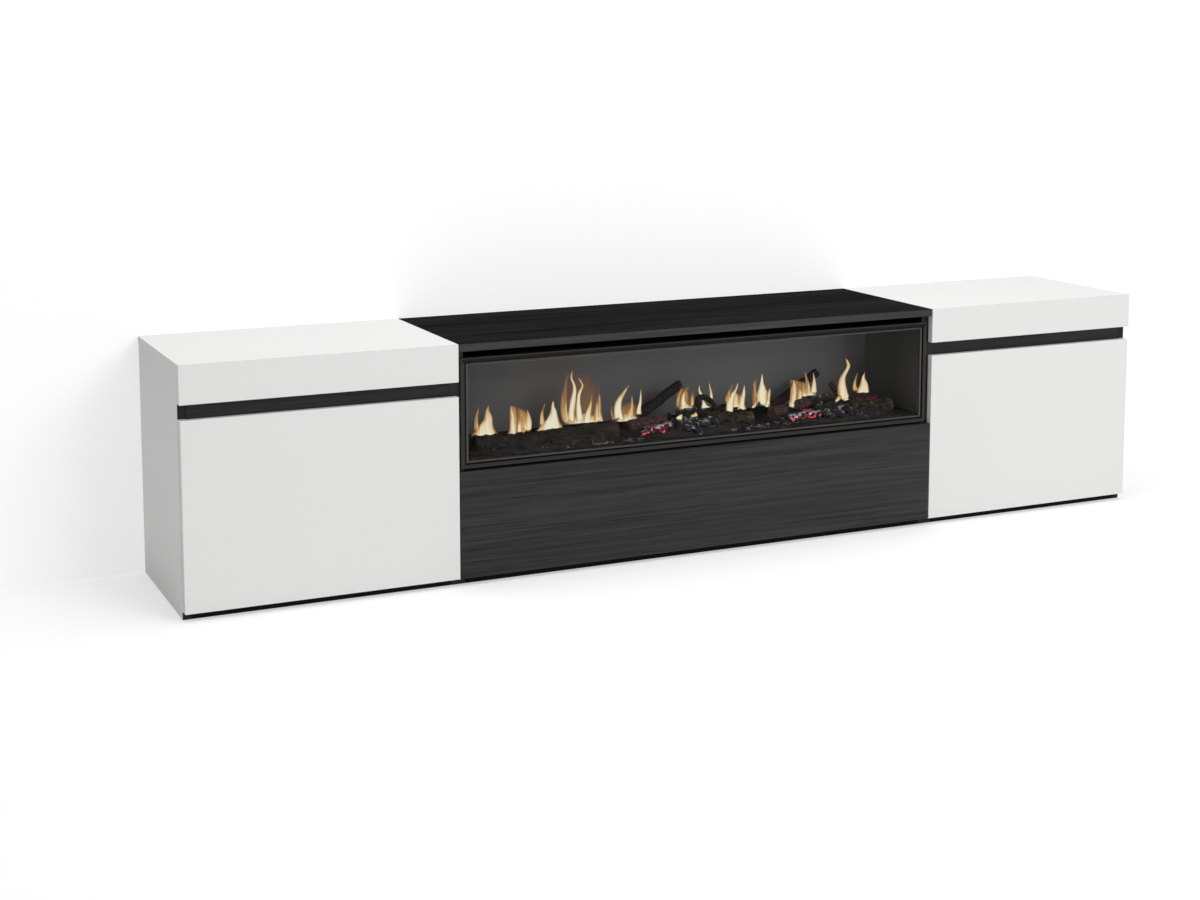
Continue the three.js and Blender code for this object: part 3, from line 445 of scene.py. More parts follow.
class CABINET_OT_fireplace(bpy.types.Operator):
    """Give the fireplace's trim, glass, housing, screen, tray and inlet their finishes"""

    bl_idname = "cabinet.fireplace"
    bl_label = "Fireplace casing"

    def execute(self, context):
        look = context.scene.cabinet_look
        trim = Finish("trim enamel")
        speck = trim.noise(scale=900, detail=2)
        cloud = trim.noise(scale=6)
        x, z = trim.place("X"), trim.place("Z")
        upright = trim.maths("MINIMUM", TRIM_HIGH.z - z, z - TRIM_LOW.z)
        inward = trim.maths("MINIMUM", TRIM_HIGH.x - abs(x), upright)
        groove, bead, rim = (
            trim.between(inward, edge - PAINT_EDGE, edge + PAINT_EDGE)
            for edge in (*TRIM_GROOVE, TRIM_RIM))
        top = TRIM_HIGH.z
        # Painted shade: the top flange is painted darker, down to 0.38, standing in for the shade
        # under the top board's overhang
        shade = trim.between(z, top - TRIM_GROOVE[1], top - TRIM_GROOVE[0], 1, 0.38)
        flange = trim.tint(trim.mix(cloud, grey(0.034), grey(0.042)), shade)
        flange = trim.mix(rim, (0.064, 0.06, 0.057), flange)
        # Painted shade: the groove is painted near black, 0.002, for the shade in it
        trim.show(
            Base_Color=trim.mix(bead, trim.mix(groove, flange, grey(0.002)), (0.084, 0.078, 0.073)),
            Roughness=0.42 + speck * 0.12,
            Normal=trim.bump(speck, 0.04 * MM, 0.4),
            Specular_IOR_Level=0.12,
        )
        wear(trim, "fire_trim")

        glass = Finish("fire glass")
        smear = glass.noise(scale=9)
        glass.show(Base_Color=grey(0.01), Roughness=0.03 + smear * 0.03, Alpha=0.06)
        wear(glass, "fire_glass")

        steel = Finish("housing enamel")
        soot = steel.noise(scale=5, detail=5, rough=0.62)
        speck = steel.noise(scale=700, detail=2)
        # Painted light: the housing is painted lighter towards the screen, up to twice, for the
        # light that falls off deeper in the fire space
        painted_rear_light = steel.between(steel.place("Y"), FIRE_FRONT + FIRE_SPACE[1] / 2, FIRE_REAR, 1, 2)
        steel.show(
            Base_Color=steel.tint(steel.mix(soot, grey(0.08), grey(0.11)), painted_rear_light),
            Roughness=0.55 + soot * 0.2,
            Normal=steel.bump(speck, 0.05 * MM, 0.4),
            Specular_IOR_Level=0.3,
        )
        wear(steel, "fire_housing")

        tray = Finish("tray enamel")
        dust = tray.noise(scale=60, detail=6, rough=0.7)
        tray.show(
            Base_Color=tray.mix(tray.between(dust, 0.45, 0.75), grey(0.012), (0.05, 0.047, 0.044)),
            Roughness=0.7 + dust * 0.2,
            Normal=tray.bump(dust, 0.4 * MM, 0.5),
            Specular_IOR_Level=0.2,
        )
        wear(tray, "fire_tray")

        screen = Finish("flame screen")
        haze = screen.noise(screen.places((1.6, 1, 2.4)), scale=1.5, rough=0.5)
        brushed = screen.noise(screen.places((420, 420, 9)))
        # Painted shade: the screen is painted darker towards the tray, down to 0.62, for the shade
        # behind the logs
        low = screen.between(screen.place("Z"), FIRE_FLOOR, FIRE_FLOOR + SCREEN_SHADE_HEIGHT, 0.62, 1)
        # Painted shade and light: the screen is painted darker towards both ends, most at the
        # right, for the shade in the corners, and lighter from left to right, for the light from
        # the key lamp at the right
        ends = screen.ramp(
            screen.place("X") / FIRE_SPACE[0] + 0.5, (0.0, grey(0.78)), (0.2, grey(0.9)),
            (0.86, grey(0.99)), (0.92, grey(0.92)), (1.0, grey(0.62)))
        level = (1 + (haze - 0.5) * 0.16 + (brushed - 0.5) * 0.14) * ends * low
        screen.show(
            Base_Color=screen.tint(tuple(look.screen), level),
            Roughness=0.52 + brushed * 0.14,
            Specular_IOR_Level=0.2,
        )
        wear(screen, "fire_screen")

        socket = Finish("inlet plastic")
        speck = socket.noise(scale=800, detail=2)
        socket.show(
            Base_Color=socket.mix(speck, grey(0.008), grey(0.013)),
            Roughness=0.4 + speck * 0.15,
            Normal=socket.bump(speck, 0.05 * MM, 0.5),
        )
        wear(socket, "fire_power_inlet")
        return {"FINISHED"}


# Logs, embers and flames

# Each log: its kind, its middle line in shares of the fire space (along from the middle, back, up),
# and its radius at both ends in millimetres
LOGS = {
    "left": [
        ("old", [(-0.462, 0.3, 0.07), (-0.334, 0.27, 0.066), (-0.165, 0.31, 0.1)], (22, 21)),
        ("old", [(-0.32, 0.142, 0.05), (-0.261, 0.166, 0.047), (-0.206, 0.134, 0.069)], (14, 12.5)),
    ],
    "centre": [
        ("charred", [(-0.124, 0.58, 0.06), (-0.046, 0.66, 0.25), (0.017, 0.721, 0.43)], (15, 11.5)),
        ("bark", [(-0.127, 0.381, 0.09), (-0.09, 0.355, 0.13), (-0.052, 0.373, 0.165)], (16, 14)),
        ("ember", [(-0.117, 0.2, 0.06), (-0.079, 0.22, 0.085), (-0.04, 0.26, 0.09)], (6, 11)),
        ("ashen", [(-0.022, 0.36, 0.21), (-0.001, 0.38, 0.208), (0.022, 0.4, 0.196)], (7.5, 7.5)),
        ("charred", [(-0.006, 0.35, 0.19), (-0.01, 0.28, 0.13), (-0.016, 0.22, 0.05)], (9, 12)),
        ("charred", [(0.037, 0.4, 0.08), (0.032, 0.44, 0.21), (0.035, 0.46, 0.31),
            (0.048, 0.46, 0.325), (0.062, 0.44, 0.275), (0.073, 0.42, 0.19)], (9, 5.8)),
        ("mossy", [(0.035, 0.47, 0.1), (0.085, 0.5, 0.148), (0.15, 0.54, 0.17)], (14, 12)),
        ("mossy", [(0.036, 0.3, 0.11), (0.081, 0.28, 0.1), (0.135, 0.27, 0.078)], (20, 17)),
    ],
    "right": [
        ("bark", [(0.193, 0.34, 0.1), (0.208, 0.36, 0.112), (0.228, 0.38, 0.118)], (15, 13)),
        ("bark", [(0.253, 0.31, 0.175), (0.277, 0.37, 0.185), (0.3, 0.42, 0.188)], (13.5, 11)),
        ("ashen", [(0.281, 0.36, 0.212), (0.311, 0.36, 0.218), (0.345, 0.38, 0.206)], (9.5, 9)),
        ("ember", [(0.222, 0.232, 0.04), (0.255, 0.21, 0.07), (0.288, 0.192, 0.08)], (10.5, 9.2)),
        ("charred", [(0.215, 0.62, 0.07), (0.284, 0.681, 0.25), (0.345, 0.741, 0.424)],
            (13.8, 10.4)),
        ("bark", [(0.366, 0.62, 0.32), (0.373, 0.6, 0.26), (0.378, 0.54, 0.15)], (7.5, 9)),
        ("mossy", [(0.368, 0.3, 0.085), (0.421, 0.3, 0.08), (0.473, 0.3, 0.068)], (20, 17)),
        ("glowing", [(0.392, 0.42, 0.15), (0.427, 0.46, 0.148), (0.465, 0.5, 0.13)], (10, 8)),
        ("charred", [(0.283, 0.24, 0.115), (0.304, 0.22, 0.112), (0.326, 0.2, 0.1)], (11, 10)),
    ],
}

# Each kind of log: the width and length of its bark plates or charcoal blocks in millimetres, how
# deep the cracks between them are and how ragged its ends, as shares of its radius, and how much of
# it is bark, moss, ash and ember
KINDS = {
    "mossy": (9, 24, 0.13, 0.06, 1.0, 1.0, 0.08, 0.0),
    "old": (9, 24, 0.13, 0.06, 0.45, 1.0, 0.08, 0.0),
    "bark": (7, 15, 0.16, 0.1, 1.0, 0.1, 0.15, 0.06),
    "charred": (8, 10, 0.18, 0.3, 0.12, 0.0, 0.3, 0.08),
    "ashen": (8, 12, 0.2, 0.3, 0.15, 0.0, 0.62, 0.1),
    "glowing": (8, 12, 0.2, 0.3, 0.3, 0.3, 0.2, 0.55),
    "ember": (7, 9, 0.2, 0.3, 0.1, 0.0, 1.2, 0.9),
}

# Each bed of embers: its middle and half size (along, back) and its height, as shares of the fire
# space, and the height and width in millimetres of the lumps on every bed
BEDS = {
    "left": ((-0.315, 0.32), (0.17, 0.27), 0.085),
    "centre": ((0.005, 0.42), (0.155, 0.36), 0.13),
    "right": ((0.335, 0.42), (0.155, 0.36), 0.11),
}
BED_LUMPS = ((2.4, 34), (1.5, 15), (1.1, 7))

# Each strewing of coals: its middle and half size (along, back), how many coals and ash splinters,
# the coals' mean radius in millimetres, and how much of them is ash and ember
COALS = {
    "left": [
        ((-0.315, 0.3), (0.16, 0.24), 60, 6, 4.5, 0.05, 0.0),
        ((-0.214, 0.1), (0.026, 0.05), 16, 18, 4, 1.0, 0.8),
    ],
    "centre": [
        ((0.005, 0.4), (0.15, 0.3), 60, 20, 5, 0.15, 0.02),
        ((-0.139, 0.12), (0.03, 0.07), 6, 14, 3.5, 0.7, 0.1),
        ((-0.075, 0.24), (0.04, 0.09), 26, 10, 5, 0.45, 0.9),
        ((0.0, 0.2), (0.045, 0.14), 34, 12, 9, 0.5, 0.08),
        ((0.134, 0.13), (0.035, 0.08), 16, 16, 4.5, 0.75, 0.35),
    ],
    "right": [
        ((0.335, 0.4), (0.145, 0.3), 60, 20, 5, 0.15, 0.02),
        ((0.213, 0.2), (0.035, 0.08), 6, 14, 3.5, 0.7, 0.1),
        ((0.275, 0.25), (0.045, 0.1), 26, 10, 5, 0.45, 0.9),
        ((0.33, 0.22), (0.045, 0.14), 34, 12, 9, 0.5, 0.08),
    ],
}

# How wide the rings that close a log's end are, outwards, as shares of its last ring
END_RINGS = (0.35, 0.68, 0.96)

# How far a fire's tongues stand behind each other, and the half width over which none gets thicker
TONGUE_STEP = 2.5 * MM
TONGUE_WIDE = 10 * MM

# Each tongue of flame: how far back its fire stands, as a share of the fire space, its number in
# the fire, its heat, how much it fades upwards, and its line from foot to tip: place along, height
# over the tray and half width, in millimetres
FLAMES = [
    (0.42, 0, 1, 0.1, (-542, 32, 42), (-541, 38, 34), (-540, 48, 26), (-536, 60, 18.4),
        (-532, 71, 13), (-532, 82, 9.5), (-534, 93, 5.8), (-533, 100, 2.9), (-532, 106, 0.6)),
    (0.42, 1, 0.62, 0.5, (-557, 40, 10.9), (-560, 53, 7.4), (-561, 68, 5.4), (-561, 79, 4.6),
        (-559, 92, 3.4), (-556, 101, 1.7), (-553, 106, 0.6)),
    (0.42, 0, 0.95, 0.1, (-471, 30, 11.6), (-468, 41, 9.6), (-468, 55, 8.2), (-469, 68, 7.3),
        (-471, 82, 5.2), (-473, 93, 2.6), (-474, 101, 0.6)),
    (0.42, 1, 0.85, 0.3, (-449, 31, 7), (-450, 45, 5), (-450, 58, 3.5), (-450, 71, 0.9)),
    (0.42, 2, 1, 0.05, (-430, 33, 13.5), (-428, 43, 12), (-426, 54, 9.7), (-426, 64, 7.3),
        (-427, 75, 4.1), (-428, 85, 0.6)),
    (0.42, 3, 0.5, 0, (-449, 29, 32.8), (-448, 42, 30.4), (-448, 56, 29.9), (-449, 69, 28.7),
        (-452, 80, 24), (-460, 90, 14.6), (-471, 99, 3.5)),
    (0.42, 0, 1, 0.1, (-370, 31, 42), (-369, 37, 34), (-367, 47, 26), (-363, 57, 17.2),
        (-361, 67, 12.2), (-361, 78, 8.3), (-363, 89, 5), (-363, 97, 2.7), (-363, 103, 0.6)),
    (0.42, 1, 0.62, 0.5, (-387, 41, 10), (-389, 53, 7.1), (-390, 64, 5.3), (-390, 75, 4.1),
        (-388, 86, 3.2), (-385, 94, 1.8), (-382, 98, 0.6)),
    (0.45, 0, 1, 0.2, (-310, 40, 13.2), (-309, 50, 10.8), (-308, 66, 9.6), (-306, 83, 8.7),
        (-304, 99, 7.8), (-301, 115, 6.3), (-301, 129, 4.8), (-305, 142, 3.9), (-310, 153, 3),
        (-310, 164, 2.1), (-308, 173, 0.3)),
    (0.45, 1, 1, 0.15, (-282, 38, 15.1), (-284, 48, 11.1), (-287, 62, 9), (-289, 79, 7.2),
        (-290, 95, 5.7), (-288, 112, 4.8), (-282, 125, 3.9), (-280, 134, 3.3), (-285, 144, 2.4),
        (-291, 153, 0.3)),
    (0.45, 2, 0.95, 0.3, (-266, 38, 15.1), (-265, 46, 11.2), (-263, 60, 8.5), (-259, 76, 5.7),
        (-255, 91, 3.3), (-253, 106, 0.6)),
    (0.45, 3, 0.85, 0.35, (-233, 37, 15.2), (-235, 46, 12.8), (-236, 60, 10.6), (-234, 77, 8.2),
        (-232, 92, 5.5), (-230, 105, 1.5)),
    (0.45, 4, 0.92, 0.85, (-273, 36, 52.7), (-273, 40, 51.5), (-273, 46, 47.8), (-273, 52, 38.7),
        (-273, 57, 21.1), (-273, 60, 4.8)),
    (0.45, 5, 0.5, 0.6, (-309, 33, 9), (-316, 44, 12), (-321, 57, 11.5), (-324, 72, 10.2),
        (-324, 88, 10.2), (-323, 105, 9.3), (-321, 121, 7.5), (-318, 137, 5.4), (-314, 154, 3.6),
        (-311, 166, 1.2)),
    (0.45, 6, 0.12, 0.3, (-273, 39, 53.9), (-273, 61, 53.9), (-272, 83, 54), (-271, 105, 54),
        (-270, 124, 51), (-274, 141, 41), (-285, 156, 28), (-297, 165, 14), (-304, 170, 3.6)),
    (0.45, 0, 1, 0, (-178, 33, 17.1), (-182, 57, 12.4), (-181, 80, 10.2), (-171, 101, 7.2),
        (-155, 123, 0.8)),
    (0.45, 1, 1, 0.05, (-122, 39, 8.4), (-123, 60, 5.9), (-121, 80, 4.2), (-120, 109, 0.6)),
    (0.45, 2, 0.75, 0.1, (-146, 32, 15.6), (-147, 49, 9.4), (-144, 67, 5.3), (-142, 97, 0.8)),
    (0.45, 3, 0.92, 0.6, (-154, 31, 40.6), (-154, 37, 33.3), (-152, 45, 19.4), (-151, 52, 5)),
    (0.45, 4, 0.38, 0, (-193, 38, 4.1), (-195, 53, 3.6), (-195, 73, 1.1)),
    (0.45, 5, 0.3, 0, (-149, 34, 27.8), (-147, 52, 26.1), (-146, 64, 23.9), (-145, 72, 19.5),
        (-145, 77, 10)),
    (0.50, 0, 0.95, 0.25, (11, 48, 14.8), (8, 62, 8.9), (7, 75, 5.7), (11, 90, 4), (19, 105, 0.6)),
    (0.50, 1, 1, 0.6, (16, 46, 24.6), (15, 50, 21.6), (14, 55, 13.1), (14, 59, 3)),
    (0.50, 2, 0.55, 0.3, (-5, 51, 5.5), (-7, 67, 4.4), (-5, 82, 4), (0, 94, 2.3), (3, 104, 0.6)),
    (0.50, 3, 0.6, 0.3, (33, 48, 6.4), (35, 59, 5.3), (35, 71, 4.5), (37, 80, 2.8), (38, 89, 0.6)),
    (0.50, 4, 0.36, 0, (15, 47, 25.4), (14, 61, 25.8), (14, 74, 25), (14, 84, 20.7), (14, 92, 11.8),
        (14, 99, 3.8)),
    (0.16, 0, 0.95, 0, (-50, 42, 9.5), (-48, 47, 8.7), (-45, 51, 5), (-43, 54, 0.8)),
    (0.16, 1, 0.95, 0, (-6, 43, 12.5), (-6, 48, 9.6), (-5, 52, 5), (-3, 56, 0.8)),
    (0.60, 0, 0.95, 0.1, (72, 70, 5.6), (68, 81, 3.9), (65, 90, 2.6), (63, 100, 0.4)),
    (0.60, 1, 0.95, 0.1, (103, 60, 5.6), (101, 74, 4.5), (97, 88, 3), (93, 103, 0.4)),
    (0.60, 2, 1.05, 0, (89, 36, 15.9), (83, 43, 9.4), (80, 51, 5.4), (77, 59, 0.9)),
    (0.40, 0, 1, 0.08, (125, 26, 12), (127, 45, 11.2), (129, 62, 10.3), (135, 77, 7.7),
        (143, 91, 4.3), (148, 107, 0.6)),
    (0.40, 1, 1, 0.08, (166, 32, 16), (163, 46, 11.7), (163, 59, 9.5), (165, 72, 6.9),
        (167, 85, 3.9), (168, 100, 0.4)),
    (0.40, 2, 0.5, 0.15, (122, 53, 5.6), (122, 66, 7.3), (124, 77, 7.3), (128, 88, 5.4),
        (133, 98, 3), (136, 105, 0.6)),
    (0.40, 3, 0.9, 0.6, (148, 43, 19.4), (148, 49, 18.1), (147, 54, 11.8), (147, 57, 3)),
    (0.40, 4, 0.62, 0, (145, 43, 24.1), (145, 59, 23.3), (145, 70, 21.1), (145, 77, 12.5),
        (145, 83, 3.4)),
    (0.50, 0, 1.15, 0, (236, 33, 21.5), (236, 52, 21.1), (236, 64, 20.6), (237, 72, 17.1),
        (236, 83, 11), (234, 94, 6.6), (233, 106, 3.9), (233, 120, 0.7)),
    (0.50, 1, 0.9, 0.05, (254, 32, 7.5), (254, 51, 6.8), (255, 66, 5.9), (258, 79, 1.3)),
    (0.50, 2, 0.85, 0.05, (212, 30, 5.2), (217, 40, 5.5), (220, 52, 4.8), (223, 60, 0.9)),
    (0.50, 3, 0.85, 0.05, (255, 27, 5.3), (251, 38, 5.3), (247, 47, 4), (244, 55, 0.9)),
    (0.50, 4, 0.45, 0.1, (218, 36, 6.1), (217, 54, 7), (217, 71, 6.8), (219, 88, 5.7),
        (223, 105, 1.8)),
    (0.50, 5, 0.36, 0.25, (262, 28, 4), (262, 40, 3.3), (260, 56, 2), (260, 69, 0.4)),
    (0.48, 0, 0.95, 0.05, (322, 23, 12.5), (326, 41, 10.8), (327, 59, 10.3), (327, 74, 8.8),
        (326, 87, 5.5), (324, 97, 1.5)),
    (0.48, 1, 0.95, 0.25, (346, 40, 8.5), (347, 55, 6.8), (345, 68, 4.5), (344, 78, 1)),
    (0.48, 2, 1, 0.08, (391, 51, 10.6), (391, 69, 8.4), (390, 84, 5.3), (389, 97, 3.3),
        (388, 110, 0.8)),
    (0.48, 3, 0.72, 0.25, (369, 50, 11.6), (371, 66, 9.8), (371, 81, 6.8), (369, 97, 4.3),
        (367, 113, 0.8)),
    (0.48, 4, 1.05, 0.5, (375, 48, 28.3), (375, 54, 24.8), (376, 61, 16.7), (378, 66, 3.5)),
    (0.48, 5, 0.4, 0, (361, 47, 38.4), (359, 60, 37.1), (357, 71, 36.1), (353, 80, 31.5),
        (340, 88, 19.6), (327, 96, 6)),
    (0.46, 0, 1, 0, (499, 19, 13.9), (489, 30, 13.4), (477, 45, 16.9), (473, 59, 15.9),
        (471, 76, 12.8), (473, 92, 9.7), (481, 107, 7.2), (489, 121, 6.4), (486, 132, 5.1),
        (478, 145, 0.8)),
    (0.46, 1, 0.85, 0, (453, 19, 3.6), (456, 29, 5.6), (461, 37, 7.7), (465, 46, 5.6)),
    (0.55, 0, 1, 0.05, (549, 40, 22.9), (550, 46, 21.4), (552, 54, 18), (554, 63, 13.8),
        (553, 73, 9.6), (551, 83, 5.3), (552, 91, 2.7), (555, 98, 0.4)),
    (0.55, 1, 0.66, 0.2, (534, 46, 10.7), (528, 56, 7.6), (526, 66, 5.7), (526, 75, 4.6),
        (528, 85, 3.4), (532, 97, 0.8)),
]


class Heap:
    """Closed tubes gathered into one mesh, with marks at each vertex for its finish to read."""

    def __init__(self):
        self.places, self.faces, self.marks, self.count = [], [], {}, 0

    def add(self, rings, **marks):
        """Adds a tube of rings, closed at both ends by a point in the middle of the last ring."""
        count, around = rings.shape[:2]
        index = self.count + np.arange(count * around).reshape(count, around)
        ahead = np.roll(index, -1, axis=1)
        low, high = self.count + count * around, self.count + count * around + 1
        walls = np.stack([index[:-1], ahead[:-1], ahead[1:], index[1:]], -1)
        self.faces += walls.reshape(-1, 4).tolist()
        self.faces += np.stack([ahead[0], index[0], np.full(around, low)], -1).tolist()
        self.faces += np.stack([index[-1], ahead[-1], np.full(around, high)], -1).tolist()
        self.places.append(np.vstack([rings.reshape(-1, 3), rings[[0, -1]].mean(axis=1)]))
        for key, value in marks.items():
            value = np.broadcast_to(value, (count, around))
            ends = value[[0, -1]].mean(axis=1)
            self.marks.setdefault(key, []).append(np.append(value.ravel(), ends))
        self.count += count * around + 2

    def piece(self, name, finish):
        """Makes the piece, which rides on the carcass."""
        mesh = bpy.data.meshes.new(name)
        mesh.from_pydata(np.vstack(self.places), [], self.faces)
        for key, values in self.marks.items():
            mark = mesh.attributes.new(key, "FLOAT", "POINT")
            mark.data.foreach_set("value", np.concatenate(values).astype(np.float32))
        mesh.polygons.foreach_set("use_smooth", np.ones(len(self.faces), bool))
        mesh.materials.append(finish.material)
        piece = bpy.data.objects.new(name, mesh)
        bpy.context.scene.collection.objects.link(piece)
        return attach(piece, CARCASS)


def smooth(points, count):
    """A smooth line through points (Catmull-Rom), as count rows.

    From b to c, with a before them and d after, it is the cubic whose slopes there are (c - a) / 2
    and (d - b) / 2.
    """
    points = np.asarray(points, float)
    padded = np.vstack([2 * points[0] - points[1], points, 2 * points[-1] - points[-2]])
    place = np.linspace(0, len(points) - 1, count)
    step = np.minimum(place.astype(int), len(points) - 2)
    t = (place - step)[:, None]
    a, b, c, d = (padded[step + k] for k in range(4))
    return b + t * (c - a + t * (2 * a - 5 * b + 4 * c - d + t * (3 * (b - c) + d - a))) / 2


def ripple(places, size, rng, count=7):
    """Smooth lumps, mostly between -1 and 1.

    Sine waves of one length in random directions are added, over the root of how many they are.
    """
    ways = rng.normal(size=(count, 3))
    ways *= TURN / size / np.linalg.norm(ways, axis=1, keepdims=True)
    return np.sin(places @ ways.T + rng.uniform(0, TURN, count)).sum(-1) / math.sqrt(count)


def plate_map(turn, along, columns, rows, rng):
    """Bark plates or charcoal blocks on the unrolled surface: 0 in the cracks, 1 inside a plate.

    turn and along run from 0 to 1, and turn closes on itself. Every cell of a grid has one site at
    random. A crack lies where the two nearest sites are equally far off.
    """
    column, row = np.meshgrid(np.arange(columns), np.arange(rows))
    sites = np.stack([column + rng.random(column.shape), row + rng.random(column.shape)], -1)
    sites = sites.reshape(-1, 2)
    sites = np.concatenate([sites + (shift * columns, 0) for shift in (-1, 0, 1)])
    places = np.stack([turn.ravel() * columns, along.ravel() * rows], -1)
    far = np.linalg.norm(places[:, None] - sites[None], axis=2)
    near = np.partition(far, 1, axis=1)[:, :2]
    return np.clip((near[:, 1] - near[:, 0]) / 0.4, 0, 1).reshape(turn.shape)


def add_log(heap, kind, path, radii, rng, rings=56, around=48):
    """A log: rings carried along a smooth line, with plates raised from them and ragged cut ends.

    Radius = straight taper * (1 + depth * (plate - 0.6) + lumps + fine lumps). The end rings shrink
    to the middle and stand in and out at random.
    """
    wide, long, deep, rag, bark, moss, ash, glow = KINDS[kind]
    line = FIRE_CORNER + smooth(path, rings) * FIRE_SPACE
    ahead = np.gradient(line, axis=0)
    ahead /= np.linalg.norm(ahead, axis=1, keepdims=True)
    over = np.cross(ahead, (0, 1, 0))
    over /= np.linalg.norm(over, axis=1, keepdims=True)
    side = np.cross(ahead, over)
    turn, along = np.meshgrid(np.arange(around) / around, np.linspace(0, 1, rings))
    angle = TURN * turn[..., None]
    way = over[:, None] * np.cos(angle) + side[:, None] * np.sin(angle)
    radius = MM * (radii[0] + (radii[1] - radii[0]) * along)
    skin = line[:, None] + way * radius[..., None]
    length = np.linalg.norm(np.diff(line, axis=0), axis=1).sum()
    columns = max(4, round(TURN * radius.mean() / (wide * MM)))
    rows = max(3, round(length / (long * MM)))
    plates = plate_map(turn, along, columns, rows, rng)
    lumps = ripple(skin, 3.2 * radius.mean(), rng)
    fine = ripple(skin, 6 * MM, rng)
    radius = radius * (1 + deep * (plates - 0.6) + 0.09 * lumps + 0.035 * fine)
    tube = line[:, None] + way * radius[..., None]
    shares = np.reshape(END_RINGS, (-1, 1, 1))
    ends = []
    for end, steps in ((0, shares), (-1, shares[::-1])):
        stands = rng.normal(size=(len(steps), around, 1)) * rag * radius[end].mean()
        ends.append(line[end] + (tube[end] - line[end]) * steps + ahead[end] * stands)
    up = way[..., 2]
    front = -way[..., 1]
    patch = ripple(skin, 26 * MM, rng)
    spot = ripple(skin, 11 * MM, rng)
    marks = {
        "crack": plates,
        "bark": np.full_like(up, bark),
        "moss": moss * np.clip(0.92 + 0.3 * patch, 0, 1) * np.clip(6.5 * (1 - along), 0.15, 1),
        "ash": ash * np.clip(0.9 * up + 0.5 * spot + 0.2 * patch, 0, 1),
        "glow": glow * np.clip(0.9 * front + 0.7 * spot - 0.6 * up - 0.1, 0, 1),
    }
    added = ((len(END_RINGS),) * 2, (0, 0))
    marks = {key: np.pad(value, added, mode="edge") for key, value in marks.items()}
    cut = np.pad(np.zeros_like(up), added, constant_values=1 - 0.65 * moss)
    heap.add(np.concatenate([ends[0], tube, ends[1]]), cut=cut, **marks)


def bed_height(along, back, bed):
    """Height of a bed over the tray: its rise * sqrt(1 - distance from its middle squared)."""
    middle, half, rise = bed
    far = ((along - middle[0]) / half[0]) ** 2 + ((back - middle[1]) / half[1]) ** 2
    return FIRE_SPACE[2] * rise * np.sqrt(np.clip(1 - far, 0, 1))


def add_bed(heap, bed, rng, rings=56, around=180):
    """A low mound of ash and crumbs: rings from its top out to its edge, on the tray.

    Height = 0.8 of the bed's height, with lumps of three sizes that fade towards the edge.
    """
    middle, half, rise = bed
    out = np.linspace(0.02, 1, rings)[:, None]
    angle = -TURN * np.arange(around) / around
    along = middle[0] + half[0] * out * np.cos(angle)
    back = middle[1] + half[1] * out * np.sin(angle)
    flat = np.stack([along, back, np.zeros_like(along)], -1) * FIRE_SPACE + FIRE_CORNER
    lumps = sum(high * ripple(flat, wide * MM, rng) for high, wide in BED_LUMPS)
    height = bed_height(along, back, bed) * 0.8 + MM * (lumps + 1.5) * np.clip(3 * (1 - out), 0, 1)
    flat[..., 2] += np.clip(height, 0, None)
    crumbs = np.clip(0.5 + 0.35 * ripple(flat, 9 * MM, rng), 0, 1)
    ash = np.clip(0.5 * ripple(flat, 42 * MM, rng) + 0.4 * ripple(flat, 8 * MM, rng) - 0.25, 0, 0.6)
    heap.add(flat, crack=crumbs, bark=0.2, moss=0.0, ash=ash, glow=0.0, cut=0.0)


def add_lump(heap, middle, sizes, turns, bark, ash, glow, rng, rings=6, around=8):
    """A coal or splinter: a ball squashed to three sizes, turned, with its surface moved at random.

    Place = middle + turned(sizes * (1 + 0.2 * random) * (sin p cos t, sin p sin t, -cos p)).
    """
    down = np.linspace(0.35, math.pi - 0.35, rings)[:, None]
    angle = TURN * np.arange(around) / around
    ball = np.stack([
        np.sin(down) * np.cos(angle), np.sin(down) * np.sin(angle), -np.cos(down) + 0 * angle], -1)
    rough = rng.normal(size=(rings, around))
    shape = ball * np.asarray(sizes) * (1 + 0.2 * rough)[..., None]
    turned = shape @ np.array(Euler(turns).to_matrix()).T
    up = turned[..., 2] / np.abs(turned[..., 2]).max()
    heap.add(
        middle + turned,
        crack=np.clip(0.75 + 0.3 * rough, 0, 1),
        bark=bark,
        moss=0.0,
        ash=np.clip(ash * (0.35 + 0.7 * rough + 0.4 * up), 0, 1),
        glow=np.clip(glow * (0.7 - 0.7 * rough - 0.3 * up), 0, 1),
        cut=0.0,
    )


def add_coals(heap, bed, facts, rng):
    """Coals and ash splinters strewn at random over an ellipse, on the bed."""
    middle, half, coals, splinters, size, ash, glow = facts
    for number in range(coals + splinters):
        angle, far = rng.uniform(0, TURN), math.sqrt(rng.random())
        along = middle[0] + half[0] * far * math.cos(angle)
        back = max(middle[1] + half[1] * far * math.sin(angle), 0.05)
        ground = bed_height(along, back, bed)
        place = FIRE_CORNER + np.array([along, back, 0]) * FIRE_SPACE
        if number < coals:
            sizes = size * MM * rng.uniform(0.6, 1.35, 3)
            turns = rng.uniform(0, TURN, 3)
            hot = glow if rng.random() < 0.5 else 0.0
            place[2] += ground + 0.55 * sizes.min()
            add_lump(heap, place, sizes, turns, 0.1, ash * rng.uniform(0.3, 1.3), hot, rng)
        else:
            ranges = ((5, 12), (0.9, 1.8), (0.7, 1.2))
            sizes = MM * np.array([rng.uniform(*limits) for limits in ranges])
            turns = (0, rng.uniform(-0.35, 0.35), rng.uniform(0, TURN))
            place[2] += ground + MM * rng.uniform(3, 7)
            add_lump(heap, place, sizes, turns, 0.0, 1.4, 0.0, rng)


